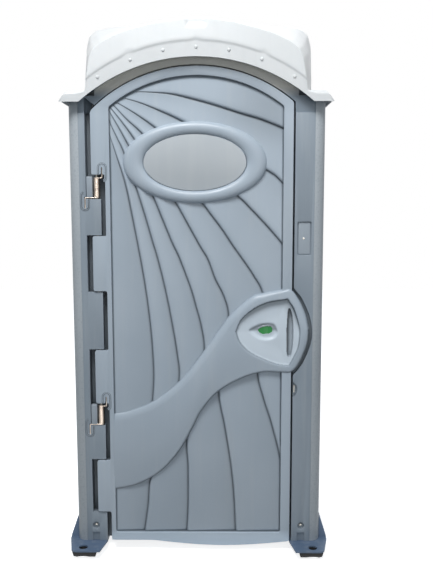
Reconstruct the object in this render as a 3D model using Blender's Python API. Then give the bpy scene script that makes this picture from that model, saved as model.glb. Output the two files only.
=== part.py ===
"""Portable toilet cabin: moulded base on two runners, sheet walls, arched roof and a hinged moulded door.

Metres, +Z up. The front faces -Y and +X is the viewer's right. The origin is on the ground under the
middle of the cabin. Every piece is one object named for what it is.
"""

from math import cos, hypot, pi, radians, sin, sqrt

import bmesh
import bpy
from mathutils import Matrix, Vector

# Ground frame
BODY_HALF = 0.540
SKIRT_FLARE = 0.035
BASE_HALF_WIDTH = BODY_HALF + SKIRT_FLARE
BASE_DEPTH = 1.220
EAR_REACH = 0.100
BACK_INSET = 0.060
SKID_HEIGHT = 0.037
PLATE_THICKNESS = 0.007
FLOOR_Z = 0.100
TOUCH = 0.0003
OVERRUN = 0.010

# Cabin body
SHEET = 0.005
WALL_TOP_Z = 2.000
DOOR_HEAD_RISE = 0.103
ROOF_LIP_RISE = 0.031
DOME_RISE = 0.211
EAVE_REACH = 0.025
ARCH_HALF_SHARE = 0.806
ARCH_RISE = 0.1565
ARCH_STEP = 0.112
CORNER_RADIUS = 0.042
SEAM_INSET = 0.0443

# Derived reference planes
FACE_Y = -BASE_DEPTH / 2 + EAR_REACH
BACK_Y = BASE_DEPTH / 2 - BACK_INSET
SEAM_X = BODY_HALF - SEAM_INSET
PLATE_LOW_Z = SKID_HEIGHT + TOUCH
PLATE_TOP_Z = PLATE_LOW_Z + PLATE_THICKNESS
WALL_FOOT_Z = PLATE_TOP_Z + TOUCH
WALL_INNER_X = BODY_HALF - SHEET
DOOR_TOP_Z = WALL_TOP_Z + DOOR_HEAD_RISE
ROOF_ARCH_Z = DOOR_TOP_Z + ROOF_LIP_RISE
ROOF_TOP_Z = ROOF_ARCH_Z + DOME_RISE
ROOF_HALF_WIDTH = BODY_HALF + EAVE_REACH
ARCH_HALF = ROOF_HALF_WIDTH * ARCH_HALF_SHARE
ROOF_ARCH_RADIUS = (ARCH_HALF**2 + ARCH_RISE**2) / (2 * ARCH_RISE)
DOOR_ARCH_RADIUS = ROOF_ARCH_RADIUS - ARCH_STEP

# Runners
SKID_WIDTH = 0.106
SKID_INSET = 0.0825
SKID_CENTRE_X = BASE_HALF_WIDTH - SKID_INSET
SKID_TAPER = 0.011
SKID_END_GAP = 0.004
SKID_RAMP = 0.030
SKID_HOLE_RADIUS = 0.024

# Base pan
EAR_INSET = 0.022
EAR_WIDTH = 0.128
EAR_ROOT_FLARE = 0.020
EAR_OUTER_X = BASE_HALF_WIDTH - EAR_INSET
EAR_INNER_X = EAR_OUTER_X - EAR_WIDTH
EAR_ROOT_X = EAR_INNER_X - EAR_ROOT_FLARE
EAR_CORNER = 0.024
EAR_HOLE_RADIUS = 0.020
EAR_HOLE_INSET = 0.051
EAR_HOLE_X = EAR_OUTER_X - EAR_HOLE_INSET
EAR_HOLE_FROM_TIP = 0.036
DOORWAY_SILL_Y = FACE_Y + 0.058
SKIRT_TOP_Z = 0.140
SKIRT_LIP = 0.006
DECK_SKIN = 0.006
DECK_RIB = 0.050

# Door slab
DOOR_RIM_PROUD = 0.006
DOOR_TRAY_BACK = 0.030
DOOR_BACK = 0.045
LATCH_JAMB_WIDTH = 0.0827
LATCH_GAP = 0.009
HINGE_INSET = 0.0717
FINGER_REACH = 0.019
DOOR_EDGE_GAP = 0.020
LATCH_JAMB_X = SEAM_X - LATCH_JAMB_WIDTH
HINGE_X = HINGE_INSET - SEAM_X
DOOR_RIGHT_X = LATCH_JAMB_X - LATCH_GAP
DOOR_FINGER_X = HINGE_X - FINGER_REACH
JAMB_FINGER_X = HINGE_X + FINGER_REACH
DOOR_EDGE_X = JAMB_FINGER_X + DOOR_EDGE_GAP
DOOR_SHOULDER_Z = DOOR_TOP_Z - DOOR_ARCH_RADIUS + sqrt(DOOR_ARCH_RADIUS**2 - DOOR_FINGER_X**2)
JAMB_HEAD_DROP = 0.006
JAMB_TOP_Z = DOOR_SHOULDER_Z - JAMB_HEAD_DROP
DOOR_HINGE_FOOT_Z = 0.049
DOOR_SAG_Z = 0.028
DOOR_LATCH_FOOT_Z = 0.045
DOOR_FOOT_FLAT = 0.185
DOOR_SKIN = 0.005
DOOR_RIM_WIDTH = 0.040
DOOR_FIELD_INSET = 0.019
DOOR_RIM_RIGHT = 0.040
DOOR_FIELD_LEFT_X = DOOR_EDGE_X + DOOR_FIELD_INSET
DOOR_FIELD_RIGHT_X = DOOR_RIGHT_X - DOOR_RIM_RIGHT
DOOR_FIELD_FOOT_Z = 0.085
DOOR_FIELD_HEAD = 0.037
DOOR_FIELD_TOP_Z = DOOR_TOP_Z - DOOR_FIELD_HEAD
DOOR_FIELD_Y = 0.004

# Hinge
HINGE_DEPTH = 0.015
HINGE_Y = FACE_Y + HINGE_DEPTH
ROD_RADIUS = 0.006
ROD_CLEARANCE = 0.0005
ROD_FOOT_Z = 0.060
ROD_HEAD_COVER = 0.006
DOOR_FINGER_LENGTH = 0.235
DOOR_FINGER_FOOT_Z = 0.181
DOOR_FINGER_COUNT = 4
TOP_FINGER_RISE = 0.255
FINGER_PITCH = (JAMB_TOP_Z - DOOR_FINGER_FOOT_Z - TOP_FINGER_RISE) / (DOOR_FINGER_COUNT - 1)
FINGER_GAP = 0.004
JAMB_NARROW = 0.044
JAMB_NARROW_X = HINGE_X - JAMB_NARROW
JAMB_FINGER_DEPTH = 0.032
SPRING_WINDOW = 0.097
SPRING_WINDOWS = (0, 2)

# Closing springs
WIRE_RADIUS = 0.0017
COIL_RADIUS = 0.0092
COIL_PITCH = 0.0046
COIL_TURNS = 18
POINTS_PER_TURN = 8
LEG_RISE = 0.048
LEG_DOOR_REACH = 0.025
LEG_JAMB_REACH = 0.0485
LEG_DOOR_X = HINGE_X + LEG_DOOR_REACH
LEG_JAMB_X = HINGE_X - LEG_JAMB_REACH
LEG_CHANNEL_HALF = 0.003
LEG_CLEARANCE = 0.0005

# Door jambs
JAMB_SKIN = 0.005
JAMB_FRONT_BLOCK = 0.028
STOP_FRONT = 0.052
STOP_BACK = 0.057
STOP_LIP = 0.048
STOP_X = LATCH_JAMB_X - STOP_LIP
JAMB_BACK = 0.075
JAMB_BOLT_Z = 0.115
JAMB_BOLT_INSET = 0.0402
JAMB_BOLT_X = SEAM_X - JAMB_BOLT_INSET
JAMB_DIMPLE_RADIUS = 0.016
JAMB_DIMPLE_DEPTH = 0.012
BOLT_HEAD_RADIUS = 0.0065
BOLT_HEAD_HEIGHT = 0.005
BOLT_SHANK_RADIUS = 0.003
BOLT_SHANK_LENGTH = 0.012
SHANK_CLEARANCE = 0.0004
COVER_LOW_Z = 1.320
COVER_HIGH_Z = 1.463
COVER_INSET = 0.0117
COVER_WIDTH = 0.059
COVER_RIGHT_X = SEAM_X - COVER_INSET
COVER_LEFT_X = COVER_RIGHT_X - COVER_WIDTH
COVER_DEPTH = 0.008

# Header
HEADER_FRONT = 0.006
HEADER_DOME_INSET = 0.0707
HEADER_DOME_X = SEAM_X - HEADER_DOME_INSET
HEADER_CAP = 0.070
HEADER_CAP_Z = JAMB_TOP_Z + HEADER_CAP
HEADER_GAP = 0.008
HEADER_HINGE_GAP = 0.014
SWING_RADIUS = 0.047
SWING_GAP = 0.003
SWING_STEPS = 4
HEADER_STOP = 0.036
HEADER_UNDER_ROOF = 0.060
HEADER_ROOF_GAP = 0.0005

# Roof
ROOF_SHEET = 0.004
ROOF_FRONT = -0.040
ROOF_FLANGE = 0.070
RIVET_RISE = 0.037
RIVET_COUNT = 7
RIVET_INSET = 0.0937
RIVET_SPAN_X = SEAM_X - RIVET_INSET
RIVET_HEAD_RADIUS = 0.0075
RIVET_HEAD_HEIGHT = 0.004
RIVET_SHANK_RADIUS = 0.0028
RIVET_SHANK_LENGTH = 0.012

HEAD_ROUND_SHARES = (0.7, 0.8)

ROUND_SIDES = 12


def srgb(value):
    """One sRGB channel as the linear value that a shader takes."""
    return value / 12.92 if value <= 0.04045 else ((value + 0.055) / 1.055) ** 2.4


def material(name, hex_colour, roughness, metallic=0.0, alpha=1.0):
    """A Principled material made once and shared by name."""
    found = bpy.data.materials.get(name)
    if found:
        return found
    made = bpy.data.materials.new(name)
    made.use_nodes = True
    shader = made.node_tree.nodes["Principled BSDF"]
    channels = [srgb(int(hex_colour[i : i + 2], 16) / 255) for i in (1, 3, 5)]
    shader.inputs["Base Color"].default_value = (*channels, 1.0)
    shader.inputs["Roughness"].default_value = roughness
    shader.inputs["Metallic"].default_value = metallic
    shader.inputs["Alpha"].default_value = alpha
    return made


def body_plastic():
    return material("blue grey polyethylene", "#8B98A3", 0.45)


def door_plastic():
    return material("door polyethylene", "#8795A1", 0.42)


def roof_plastic():
    return material("translucent white polyethylene", "#E4E6E6", 0.38)


def runner_plastic():
    return material("black recycled plastic", "#17181A", 0.6)


def galvanised():
    return material("galvanised steel", "#B9B7B0", 0.35, 1.0)


def interior_plastic():
    return material("interior polyethylene", "#9AA4AC", 0.5)


def clear_scene():
    for item in list(bpy.data.objects):
        bpy.data.objects.remove(item, do_unlink=True)


def pivot(name, place):
    """An empty on a joint's axis, which carries the pieces that move with it."""
    empty = bpy.data.objects.new(name, None)
    empty.location = place
    bpy.context.collection.objects.link(empty)
    return empty


def add_object(name, data, finish, carrier=None):
    """Link an object whose data is in world coordinates, carried by an empty where it moves."""
    made = bpy.data.objects.new(name, data)
    bpy.context.collection.objects.link(made)
    if finish:
        data.materials.append(finish)
    if carrier:
        made.parent = carrier
        made.matrix_parent_inverse = Matrix.Translation(-carrier.location)
    return made


def from_bmesh(name, shape, finish=None, carrier=None):
    """Close a bmesh into a named object with its faces pointing out."""
    bmesh.ops.recalc_face_normals(shape, faces=shape.faces)
    mesh = bpy.data.meshes.new(name)
    shape.to_mesh(mesh)
    shape.free()
    mesh.shade_smooth()
    mesh.set_sharp_from_angle(angle=radians(35))
    return add_object(name, mesh, finish, carrier)


def oriented(axis, first, second, along):
    """A point of an outline: first and second lie across the axis, in X, Y, Z order."""
    if axis == "X":
        return Vector((along, first, second))
    if axis == "Y":
        return Vector((first, along, second))
    return Vector((first, second, along))


def add_prism(shape, outline, axis, low, high):
    """Extrude a flat outline between two planes, inside a bmesh."""
    corners = [shape.verts.new(oriented(axis, a, b, low)) for a, b in outline]
    face = shape.faces.new(corners)
    grown = bmesh.ops.extrude_face_region(shape, geom=[face])
    moved = [item for item in grown["geom"] if isinstance(item, bmesh.types.BMVert)]
    bmesh.ops.translate(shape, verts=moved, vec=oriented(axis, 0, 0, high - low))


def prism(name, outline, axis, low, high, finish=None, carrier=None):
    shape = bmesh.new()
    add_prism(shape, outline, axis, low, high)
    return from_bmesh(name, shape, finish, carrier)


def prisms(name, rows, finish=None, carrier=None):
    """Several prisms in one object, for a cutter that cuts in many places."""
    shape = bmesh.new()
    for outline, axis, low, high in rows:
        add_prism(shape, outline, axis, low, high)
    return from_bmesh(name, shape, finish, carrier)


def box_outline(left, right, low, high):
    return [(left, low), (right, low), (right, high), (left, high)]


def arc(centre_a, centre_b, radius, start_deg, end_deg, steps):
    """Points along a round stretch, both ends included."""
    turns = [radians(start_deg + (end_deg - start_deg) * i / steps) for i in range(steps + 1)]
    return [(centre_a + radius * cos(t), centre_b + radius * sin(t)) for t in turns]


def circle(centre_a, centre_b, radius, sides=ROUND_SIDES):
    return arc(centre_a, centre_b, radius, 0, 360, sides)[:-1]


def ellipse(centre_a, centre_b, half_a, half_b, sides):
    turns = [2 * pi * i / sides for i in range(sides)]
    return [(centre_a + half_a * cos(t), centre_b + half_b * sin(t)) for t in turns]


def rounded_box(left, right, low, high, radius, steps=3):
    """A rectangle's outline with its four corners rounded."""
    return (
        arc(right - radius, low + radius, radius, -90, 0, steps)
        + arc(right - radius, high - radius, radius, 0, 90, steps)
        + arc(left + radius, high - radius, radius, 90, 180, steps)
        + arc(left + radius, low + radius, radius, 180, 270, steps)
    )


def smooth_line(points, steps):
    """A smooth line through chosen points, as a Catmull-Rom curve."""
    ends = [points[0]] + list(points) + [points[-1]]
    line = []
    for i in range(1, len(ends) - 2):
        a, b, c, d = (Vector(ends[i + k]) for k in (-1, 0, 1, 2))
        for step in range(steps):
            t = step / steps
            bend = 2 * b + (c - a) * t + (2 * a - 5 * b + 4 * c - d) * t**2 + (3 * b - a - 3 * c + d) * t**3
            line.append(tuple(bend / 2))
    line.append(tuple(points[-1]))
    return line


def sheet_outline(path, thickness):
    """The closed outline of a bent sheet, from its middle line."""
    left, right = [], []
    for i, point in enumerate(path):
        here = Vector(point)
        before = (here - Vector(path[i - 1])).normalized() if i else None
        after = (Vector(path[i + 1]) - here).normalized() if i + 1 < len(path) else None
        before, after = before or after, after or before
        middle = (before + after).normalized()
        side = Vector((-middle.y, middle.x))
        reach = thickness / 2 / max(side.dot(Vector((-after.y, after.x))), 1e-6)
        left.append(tuple(here + side * reach))
        right.append(tuple(here - side * reach))
    return left + right[::-1]


def use_tool(target, tool, operation):
    """Cut or join a piece with another object, which then stays out of the build."""
    change = target.modifiers.new(tool.name, "BOOLEAN")
    change.operation = operation
    change.object = tool
    change.solver = "EXACT"
    tool.hide_render = True
    tool.display_type = "WIRE"


def cut(target, *tools):
    for tool in tools:
        use_tool(target, tool, "DIFFERENCE")


def join(target, *tools):
    for tool in tools:
        use_tool(target, tool, "UNION")


def turned(name, profile, place, direction, finish=None, carrier=None, sides=ROUND_SIDES):
    """Spin a profile of (radius, height) points round an axis through a place."""
    shape = bmesh.new()
    axis_turn = Vector((0, 0, 1)).rotation_difference(Vector(direction)).to_matrix()
    rings = []
    for radius, height in profile:
        if radius == 0:
            rings.append([shape.verts.new(axis_turn @ Vector((0, 0, height)) + Vector(place))])
            continue
        ring = []
        for a, b in circle(0, 0, radius, sides):
            ring.append(shape.verts.new(axis_turn @ Vector((a, b, height)) + Vector(place)))
        rings.append(ring)
    closed = profile[0][0] > 0 and profile[-1][0] > 0
    pairs = list(zip(rings, rings[1:] + rings[:1])) if closed else list(zip(rings, rings[1:]))
    for lower, upper in pairs:
        for i in range(sides):
            k = (i + 1) % sides
            ring = [lower[i % len(lower)], lower[k % len(lower)]]
            ring += [upper[k % len(upper)], upper[i % len(upper)]]
            shape.faces.new(list(dict.fromkeys(ring)))
    return from_bmesh(name, shape, finish, carrier)


def mirrored(points):
    """The same outline on the other side of the middle plane."""
    return [(-a, b) for a, b in points]


def door_foot_z(x):
    """Height of the door's lower edge: level over the ear by the hinge, then bowed down in the middle."""
    flat_end = DOOR_EDGE_X + DOOR_FOOT_FLAT
    if x <= flat_end:
        return DOOR_HINGE_FOOT_Z
    share = (x - flat_end) / (DOOR_RIGHT_X - flat_end)
    straight = DOOR_HINGE_FOOT_Z + (DOOR_LATCH_FOOT_Z - DOOR_HINGE_FOOT_Z) * share
    return straight - (DOOR_HINGE_FOOT_Z - DOOR_SAG_Z) * sin(pi * share)


def arch_z(x, top, radius, grow=0.0):
    """Height of a round arch that is centred on the middle plane."""
    return top - radius + sqrt(max((radius + grow) ** 2 - x * x, 0.0))


def arch_points(left, right, top, radius, steps, grow=0.0):
    places = [left + (right - left) * i / steps for i in range(steps + 1)]
    return [(x, arch_z(x, top, radius, grow)) for x in places]


def finger_foot(index):
    return DOOR_FINGER_FOOT_Z + FINGER_PITCH * index


def door_shoulder_z():
    return arch_z(DOOR_RIGHT_X, DOOR_TOP_Z, DOOR_ARCH_RADIUS)


def build_skid(name, side):
    """A runner with tapered sides and ramped ends, drilled under the two tie-down holes."""
    centre = side * SKID_CENTRE_X
    half = SKID_WIDTH / 2
    end = BASE_DEPTH / 2 - SKID_END_GAP
    across = [
        (centre - half + SKID_TAPER, 0),
        (centre + half - SKID_TAPER, 0),
        (centre + half, SKID_HEIGHT),
        (centre - half, SKID_HEIGHT),
    ]
    skid = prism(name, across, "Y", -end, end, runner_plastic())
    ramps = []
    for way in (-1, 1):
        past = way * (end + OVERRUN)
        toe = way * (end - SKID_RAMP)
        ramp = [(past, -OVERRUN), (past, SKID_HEIGHT / 2), (way * end, SKID_HEIGHT / 2)]
        ramp += [(toe, 0), (toe, -OVERRUN)]
        ramps.append((ramp, "X", centre - half - OVERRUN, centre + half + OVERRUN))
    hole_y = BASE_DEPTH / 2 - EAR_HOLE_FROM_TIP
    holes = [
        (circle(side * EAR_HOLE_X, way * hole_y, SKID_HOLE_RADIUS), "Z", -OVERRUN, SKID_HEIGHT + OVERRUN)
        for way in (-1, 1)
    ]
    cut(skid, prisms(name + "_ramp_cut", ramps), prisms(name + "_hole_cut", holes))


def base_plate_outline():
    """The flange in plan: four ears, with the front cut back so that the door can hang in front."""
    tip = -BASE_DEPTH / 2
    quarter = [(0, DOORWAY_SILL_Y), (EAR_ROOT_X, DOORWAY_SILL_Y), (EAR_ROOT_X, FACE_Y), (EAR_INNER_X, tip)]
    quarter += arc(EAR_OUTER_X - EAR_CORNER, tip + EAR_CORNER, EAR_CORNER, -90, -30, 3)
    quarter += [(BASE_HALF_WIDTH, FACE_Y + EAR_CORNER)]
    back = -tip - EAR_REACH / 2
    rear = [(BASE_HALF_WIDTH, back - EAR_CORNER)]
    rear += arc(EAR_OUTER_X - EAR_CORNER, -tip - EAR_CORNER, EAR_CORNER, 30, 90, 3)
    rear += [(EAR_INNER_X, -tip), (EAR_ROOT_X, back), (0, back)]
    right = quarter + rear
    return right + mirrored(right[1:-1])[::-1]


def build_base_pan():
    """Floor tray: flange with ears, raised deck, side skirts that hide the wall feet, ribs below."""
    base = prism("base_pan", base_plate_outline(), "Z", PLATE_LOW_Z, PLATE_TOP_Z, body_plastic())
    deck_half = WALL_INNER_X - WALL_CHANNEL_DEPTH - TOUCH
    deck_front = FACE_Y + JAMB_BACK + TOUCH
    deck_back = BACK_Y - SHEET - 2 * TOUCH
    deck = box_outline(-deck_half, deck_half, deck_front, deck_back)
    skirt = [
        (BODY_HALF + TOUCH, PLATE_LOW_Z + SHEET / 2),
        (BASE_HALF_WIDTH - TOUCH, PLATE_LOW_Z + SHEET / 2),
        (BASE_HALF_WIDTH - TOUCH, PLATE_TOP_Z + SKIRT_LIP),
        (BODY_HALF + TOUCH + SKIRT_LIP / 2, SKIRT_TOP_Z),
        (BODY_HALF + TOUCH, SKIRT_TOP_Z),
    ]
    front, back = FACE_Y + CORNER_RADIUS, BACK_Y
    join(
        base,
        prism("deck_block", deck, "Z", PLATE_LOW_Z + SHEET / 2, FLOOR_Z),
        prism("skirt_right_block", skirt, "Y", front, back),
        prism("skirt_left_block", mirrored(skirt), "Y", front, back),
    )
    inner = SKID_CENTRE_X - SKID_WIDTH / 2 - OVERRUN
    bays = []
    bay_low, bay_high = deck_front + DECK_SKIN, deck_back - DECK_SKIN
    bay_depth = (bay_high - bay_low - DECK_RIB) / 2
    bay_width = (2 * inner - DECK_RIB) / 2
    for column in (0, 1):
        for row in (0, 1):
            left = -inner + column * (bay_width + DECK_RIB)
            low = bay_low + row * (bay_depth + DECK_RIB)
            bay = box_outline(left, left + bay_width, low, low + bay_depth)
            bays.append((bay, "Z", PLATE_LOW_Z - OVERRUN, FLOOR_Z - DECK_SKIN))
    hole_y = BASE_DEPTH / 2 - EAR_HOLE_FROM_TIP
    holes = [
        (circle(side * EAR_HOLE_X, way * hole_y, EAR_HOLE_RADIUS), "Z", 0, PLATE_TOP_Z + OVERRUN)
        for side in (-1, 1)
        for way in (-1, 1)
    ]
    cut(base, prisms("deck_bay_cut", bays), prisms("ear_hole_cut", holes))


# Wall panels and louvres
WALL_CHANNEL_DEPTH = 0.014
WALL_CHANNEL_SLOPE = 0.012
WALL_RETURN = 0.055
WALL_BACK_RETURN = 0.050
WALL_FRONT_MARGIN = 0.110
WALL_BACK_MARGIN = 0.120
WALL_POST_HALF = 0.045
BACK_POST_HALF = 0.060
BACK_PANEL_MARGIN = 0.140
WALL_PANEL_LOW = FACE_Y + WALL_FRONT_MARGIN
WALL_PANEL_HIGH = BACK_Y - WALL_BACK_MARGIN
WALL_POST_Y = (WALL_PANEL_LOW + WALL_PANEL_HIGH) / 2
BACK_PANEL_X = BODY_HALF - BACK_PANEL_MARGIN
WALL_POST_EDGES = (WALL_POST_Y - WALL_POST_HALF, WALL_POST_Y + WALL_POST_HALF)
WALL_PANEL_EDGES = (WALL_PANEL_LOW, *WALL_POST_EDGES, WALL_PANEL_HIGH)
BACK_PANEL_EDGES = (-BACK_PANEL_X, -BACK_POST_HALF, BACK_POST_HALF, BACK_PANEL_X)
LOUVRE_COUNT = 5
LOUVRE_PITCH = 0.028
LOUVRE_HEIGHT = 0.012
LOUVRE_DROP = 0.100
LOUVRE_TOP_Z = WALL_TOP_Z - LOUVRE_DROP
LOUVRE_INSET = 0.040


def stepped_path(edges, level, depth, along_first):
    """A wall's middle line with one shallow channel between each pair of edges."""
    points = []
    for low, high in zip(edges[::2], edges[1::2]):
        points += [(low, level), (low + WALL_CHANNEL_SLOPE, level + depth)]
        points += [(high - WALL_CHANNEL_SLOPE, level + depth), (high, level)]
    return points if along_first else [(b, a) for a, b in points]


def wall_path():
    """Middle line of the right wall in plan: front return, round corner, side, rear return."""
    middle = BODY_HALF - SHEET / 2
    radius = CORNER_RADIUS - SHEET / 2
    centre_x, centre_y = BODY_HALF - CORNER_RADIUS, FACE_Y + CORNER_RADIUS
    path = [(SEAM_X + SHEET / 2, FACE_Y + WALL_RETURN)]
    path += arc(centre_x, centre_y, radius, -90, 0, 5)
    path += stepped_path(WALL_PANEL_EDGES, middle, -WALL_CHANNEL_DEPTH, False)
    rear = BACK_Y - SHEET / 2
    path += [(middle, rear), (middle - WALL_BACK_RETURN, rear)]
    return path


def louvre_rows(low, high, axis, near, far):
    """Cutters for one block of level vent slots between two edges."""
    rows = []
    for i in range(LOUVRE_COUNT):
        foot = LOUVRE_TOP_Z - LOUVRE_PITCH * i
        slot = box_outline(low + LOUVRE_INSET, high - LOUVRE_INSET, foot - LOUVRE_HEIGHT, foot)
        rows.append((slot, axis, near, far))
    return rows


def build_side_wall(name, side):
    outline = sheet_outline(wall_path(), SHEET)
    if side < 0:
        outline = mirrored(outline)[::-1]
    wall = prism(name, outline, "Z", WALL_FOOT_Z, WALL_TOP_Z, body_plastic())
    slots = []
    near, far = sorted((side * (BODY_HALF - CORNER_RADIUS), side * (BODY_HALF + OVERRUN)))
    for low, high in zip(WALL_PANEL_EDGES[::2], WALL_PANEL_EDGES[1::2]):
        slots += louvre_rows(low, high, "X", near, far)
    cut(wall, prisms(name + "_louvre_cut", slots))


def build_back_wall():
    """Rear sheet that stands inside the side walls' returns, with two raised panels."""
    half = WALL_INNER_X - TOUCH
    middle = BACK_Y - SHEET - TOUCH - SHEET / 2
    path = [(-half, middle)]
    path += stepped_path(BACK_PANEL_EDGES, middle, -WALL_CHANNEL_DEPTH, True)
    path += [(half, middle)]
    foot = FLOOR_Z + TOUCH
    wall = prism("back_wall", sheet_outline(path, SHEET), "Z", foot, WALL_TOP_Z, body_plastic())
    slots = []
    for low, high in zip(BACK_PANEL_EDGES[::2], BACK_PANEL_EDGES[1::2]):
        slots += louvre_rows(low, high, "Y", middle - CORNER_RADIUS, BACK_Y)
    cut(wall, prisms("back_wall_louvre_cut", slots))


def jamb_stop(side):
    """The leg behind the door's edge that the door closes towards, in plan."""
    inner, outer = side * STOP_X, side * (SEAM_X - TOUCH)
    left, right = min(inner, outer), max(inner, outer)
    return box_outline(left, right, FACE_Y + STOP_FRONT, FACE_Y + STOP_BACK)


def jamb_foot_tools(name, side):
    """The dimple and the shank hole for the bolt at a jamb's foot."""
    x = side * JAMB_BOLT_X
    dimple = circle(x, JAMB_BOLT_Z, JAMB_DIMPLE_RADIUS)
    drain_top = JAMB_BOLT_Z - 2 * JAMB_DIMPLE_RADIUS
    drain = box_outline(x - JAMB_DIMPLE_RADIUS, x + JAMB_DIMPLE_RADIUS, 0, drain_top)
    shank = circle(x, JAMB_BOLT_Z, BOLT_SHANK_RADIUS + SHANK_CLEARANCE)
    floor = FACE_Y + JAMB_DIMPLE_DEPTH
    hole_end = floor + BOLT_SHANK_LENGTH + SHANK_CLEARANCE
    return prisms(
        name + "_foot_cut",
        [
            (dimple, "Y", FACE_Y - OVERRUN, floor),
            (drain, "Y", FACE_Y - OVERRUN, FACE_Y + JAMB_DIMPLE_DEPTH / 2),
        ],
    ), prism(name + "_shank_cut", shank, "Y", floor - OVERRUN / 2, hole_end)


def build_hinge_jamb():
    """Left jamb: a narrow face with fingers that reach over to the hinge rod between the door's."""
    outer = -(SEAM_X - TOUCH)
    column = box_outline(outer, JAMB_NARROW_X, FACE_Y, FACE_Y + JAMB_BACK)
    jamb = prism("hinge_jamb", column, "Z", WALL_FOOT_Z, JAMB_TOP_Z, body_plastic())
    stop = prism("hinge_stop_block", jamb_stop(-1), "Z", WALL_FOOT_Z, JAMB_TOP_Z)
    rows = []
    for i in range(DOOR_FINGER_COUNT):
        low = WALL_FOOT_Z if i == 0 else finger_foot(i - 1) + DOOR_FINGER_LENGTH + FINGER_GAP
        high = finger_foot(i) - FINGER_GAP
        if i - 1 in SPRING_WINDOWS:
            high -= SPRING_WINDOW
        face = box_outline(outer + SHEET, JAMB_FINGER_X, low, high)
        rows.append((face, "Y", FACE_Y, FACE_Y + JAMB_FINGER_DEPTH))
    for index, row in enumerate(rows):
        join(jamb, prisms("jamb_finger_block_%d" % index, [row]))
    join(jamb, stop)
    left, right = outer + JAMB_SKIN, JAMB_NARROW_X - JAMB_SKIN
    hollow = box_outline(left, right, FACE_Y + JAMB_FRONT_BLOCK, FACE_Y + STOP_FRONT)
    top_hollow = box_outline(left, right, FACE_Y + STOP_BACK, FACE_Y + JAMB_BACK + OVERRUN)
    bore = circle(HINGE_X, HINGE_Y, ROD_RADIUS + ROD_CLEARANCE)
    inside = (WALL_FOOT_Z + JAMB_SKIN, JAMB_TOP_Z + OVERRUN)
    hollows = [(hollow, "Z", *inside), (top_hollow, "Z", *inside)]
    rod_space = prism("jamb_bore_cut", bore, "Z", ROD_FOOT_Z - TOUCH, JAMB_TOP_Z + OVERRUN)
    cut(jamb, prisms("hinge_jamb_hollow_cut", hollows), rod_space)
    cut(jamb, *jamb_foot_tools("hinge_jamb", -1))
    cut(jamb, spring_channel_cut("jamb_channel_cut", -1))


def spring_channel_cut(name, part):
    """Slots for the springs' legs, open at the window: on the jamb (-1) or on the door (+1)."""
    rows = []
    half = LEG_CHANNEL_HALF
    floor = HINGE_Y - COIL_RADIUS + WIRE_RADIUS + LEG_CLEARANCE
    front = FACE_Y - DOOR_RIM_PROUD - OVERRUN
    for window in SPRING_WINDOWS:
        top = finger_foot(window + 1)
        foot = spring_foot_z(window)
        if part > 0:
            slot = box_outline(LEG_DOOR_X - half, LEG_DOOR_X + half, top - OVERRUN, top + LEG_RISE)
        else:
            left, right = LEG_JAMB_X - half, LEG_JAMB_X + half
            slot = [(left, foot - LEG_RISE), (right, foot - LEG_RISE), (right, foot - half)]
            slot += [(JAMB_FINGER_X, foot - half), (JAMB_FINGER_X, foot + half), (left, foot + half)]
        rows.append((slot, "Y", front, floor))
    return prisms(name, rows)


def spring_foot_z(window):
    """Height of the coil's lowest turn, just above the jamb's finger in that window."""
    return finger_foot(window + 1) - FINGER_GAP - SPRING_WINDOW + 3 * WIRE_RADIUS


def build_latch_jamb():
    """Right jamb: a plain hollow face with the recess behind the door's handle and a cover recess."""
    outer = SEAM_X - TOUCH
    column = box_outline(LATCH_JAMB_X, outer, FACE_Y, FACE_Y + JAMB_BACK)
    jamb = prism("latch_jamb", column, "Z", WALL_FOOT_Z, JAMB_TOP_Z, body_plastic())
    join(jamb, prism("latch_stop_block", jamb_stop(1), "Z", WALL_FOOT_Z, JAMB_TOP_Z))
    inside = (WALL_FOOT_Z + JAMB_SKIN, JAMB_TOP_Z + OVERRUN)
    left, right = LATCH_JAMB_X + JAMB_SKIN, outer - JAMB_SKIN
    hollow = box_outline(left, right, FACE_Y + JAMB_FRONT_BLOCK, FACE_Y + STOP_FRONT)
    rear = box_outline(left, right, FACE_Y + STOP_BACK, FACE_Y + JAMB_BACK + OVERRUN)
    cut(jamb, prisms("latch_jamb_hollow_cut", [(hollow, "Z", *inside), (rear, "Z", *inside)]))
    cover = rounded_box(COVER_LEFT_X, COVER_RIGHT_X, COVER_LOW_Z, COVER_HIGH_Z, SHEET)
    cut(jamb, prism("cover_recess_cut", cover, "Y", FACE_Y - OVERRUN, FACE_Y + COVER_DEPTH))
    shank = circle(*cover_screw_place(), BOLT_SHANK_RADIUS + SHANK_CLEARANCE)
    hole = (FACE_Y, FACE_Y + COVER_DEPTH + BOLT_SHANK_LENGTH + SHANK_CLEARANCE)
    cut(jamb, prism("cover_screw_cut", shank, "Y", *hole))
    cut(jamb, *jamb_foot_tools("latch_jamb", 1))
    cut(jamb, handle_clearance_cut(), hasp_dish_cut("hasp_jamb_cut"), hasp_slot_cut(1))


def cover_screw_place():
    return (COVER_LEFT_X + COVER_RIGHT_X) / 2 - SHEET / 2, (COVER_LOW_Z + COVER_HIGH_Z) / 2


def header_shape(name, left, right, gap, front, back, finish=None):
    """An arched band over the door, from a gap round the door's arch up to under the roof."""
    half = SEAM_X - TOUCH
    foot = JAMB_TOP_Z + TOUCH
    lower = arch_points(left, right, DOOR_TOP_Z, DOOR_ARCH_RADIUS, 16, gap)
    outline = [(-half, foot), (left, foot)] + lower + [(right, foot), (half, foot), (half, HEADER_CAP_Z)]
    outline += [(HEADER_DOME_X, HEADER_CAP_Z)] + header_arch(HEADER_UNDER_ROOF)[::-1]
    outline += [(-HEADER_DOME_X, HEADER_CAP_Z), (-half, HEADER_CAP_Z)]
    return prism(name, outline, "Y", front, back, finish)


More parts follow.
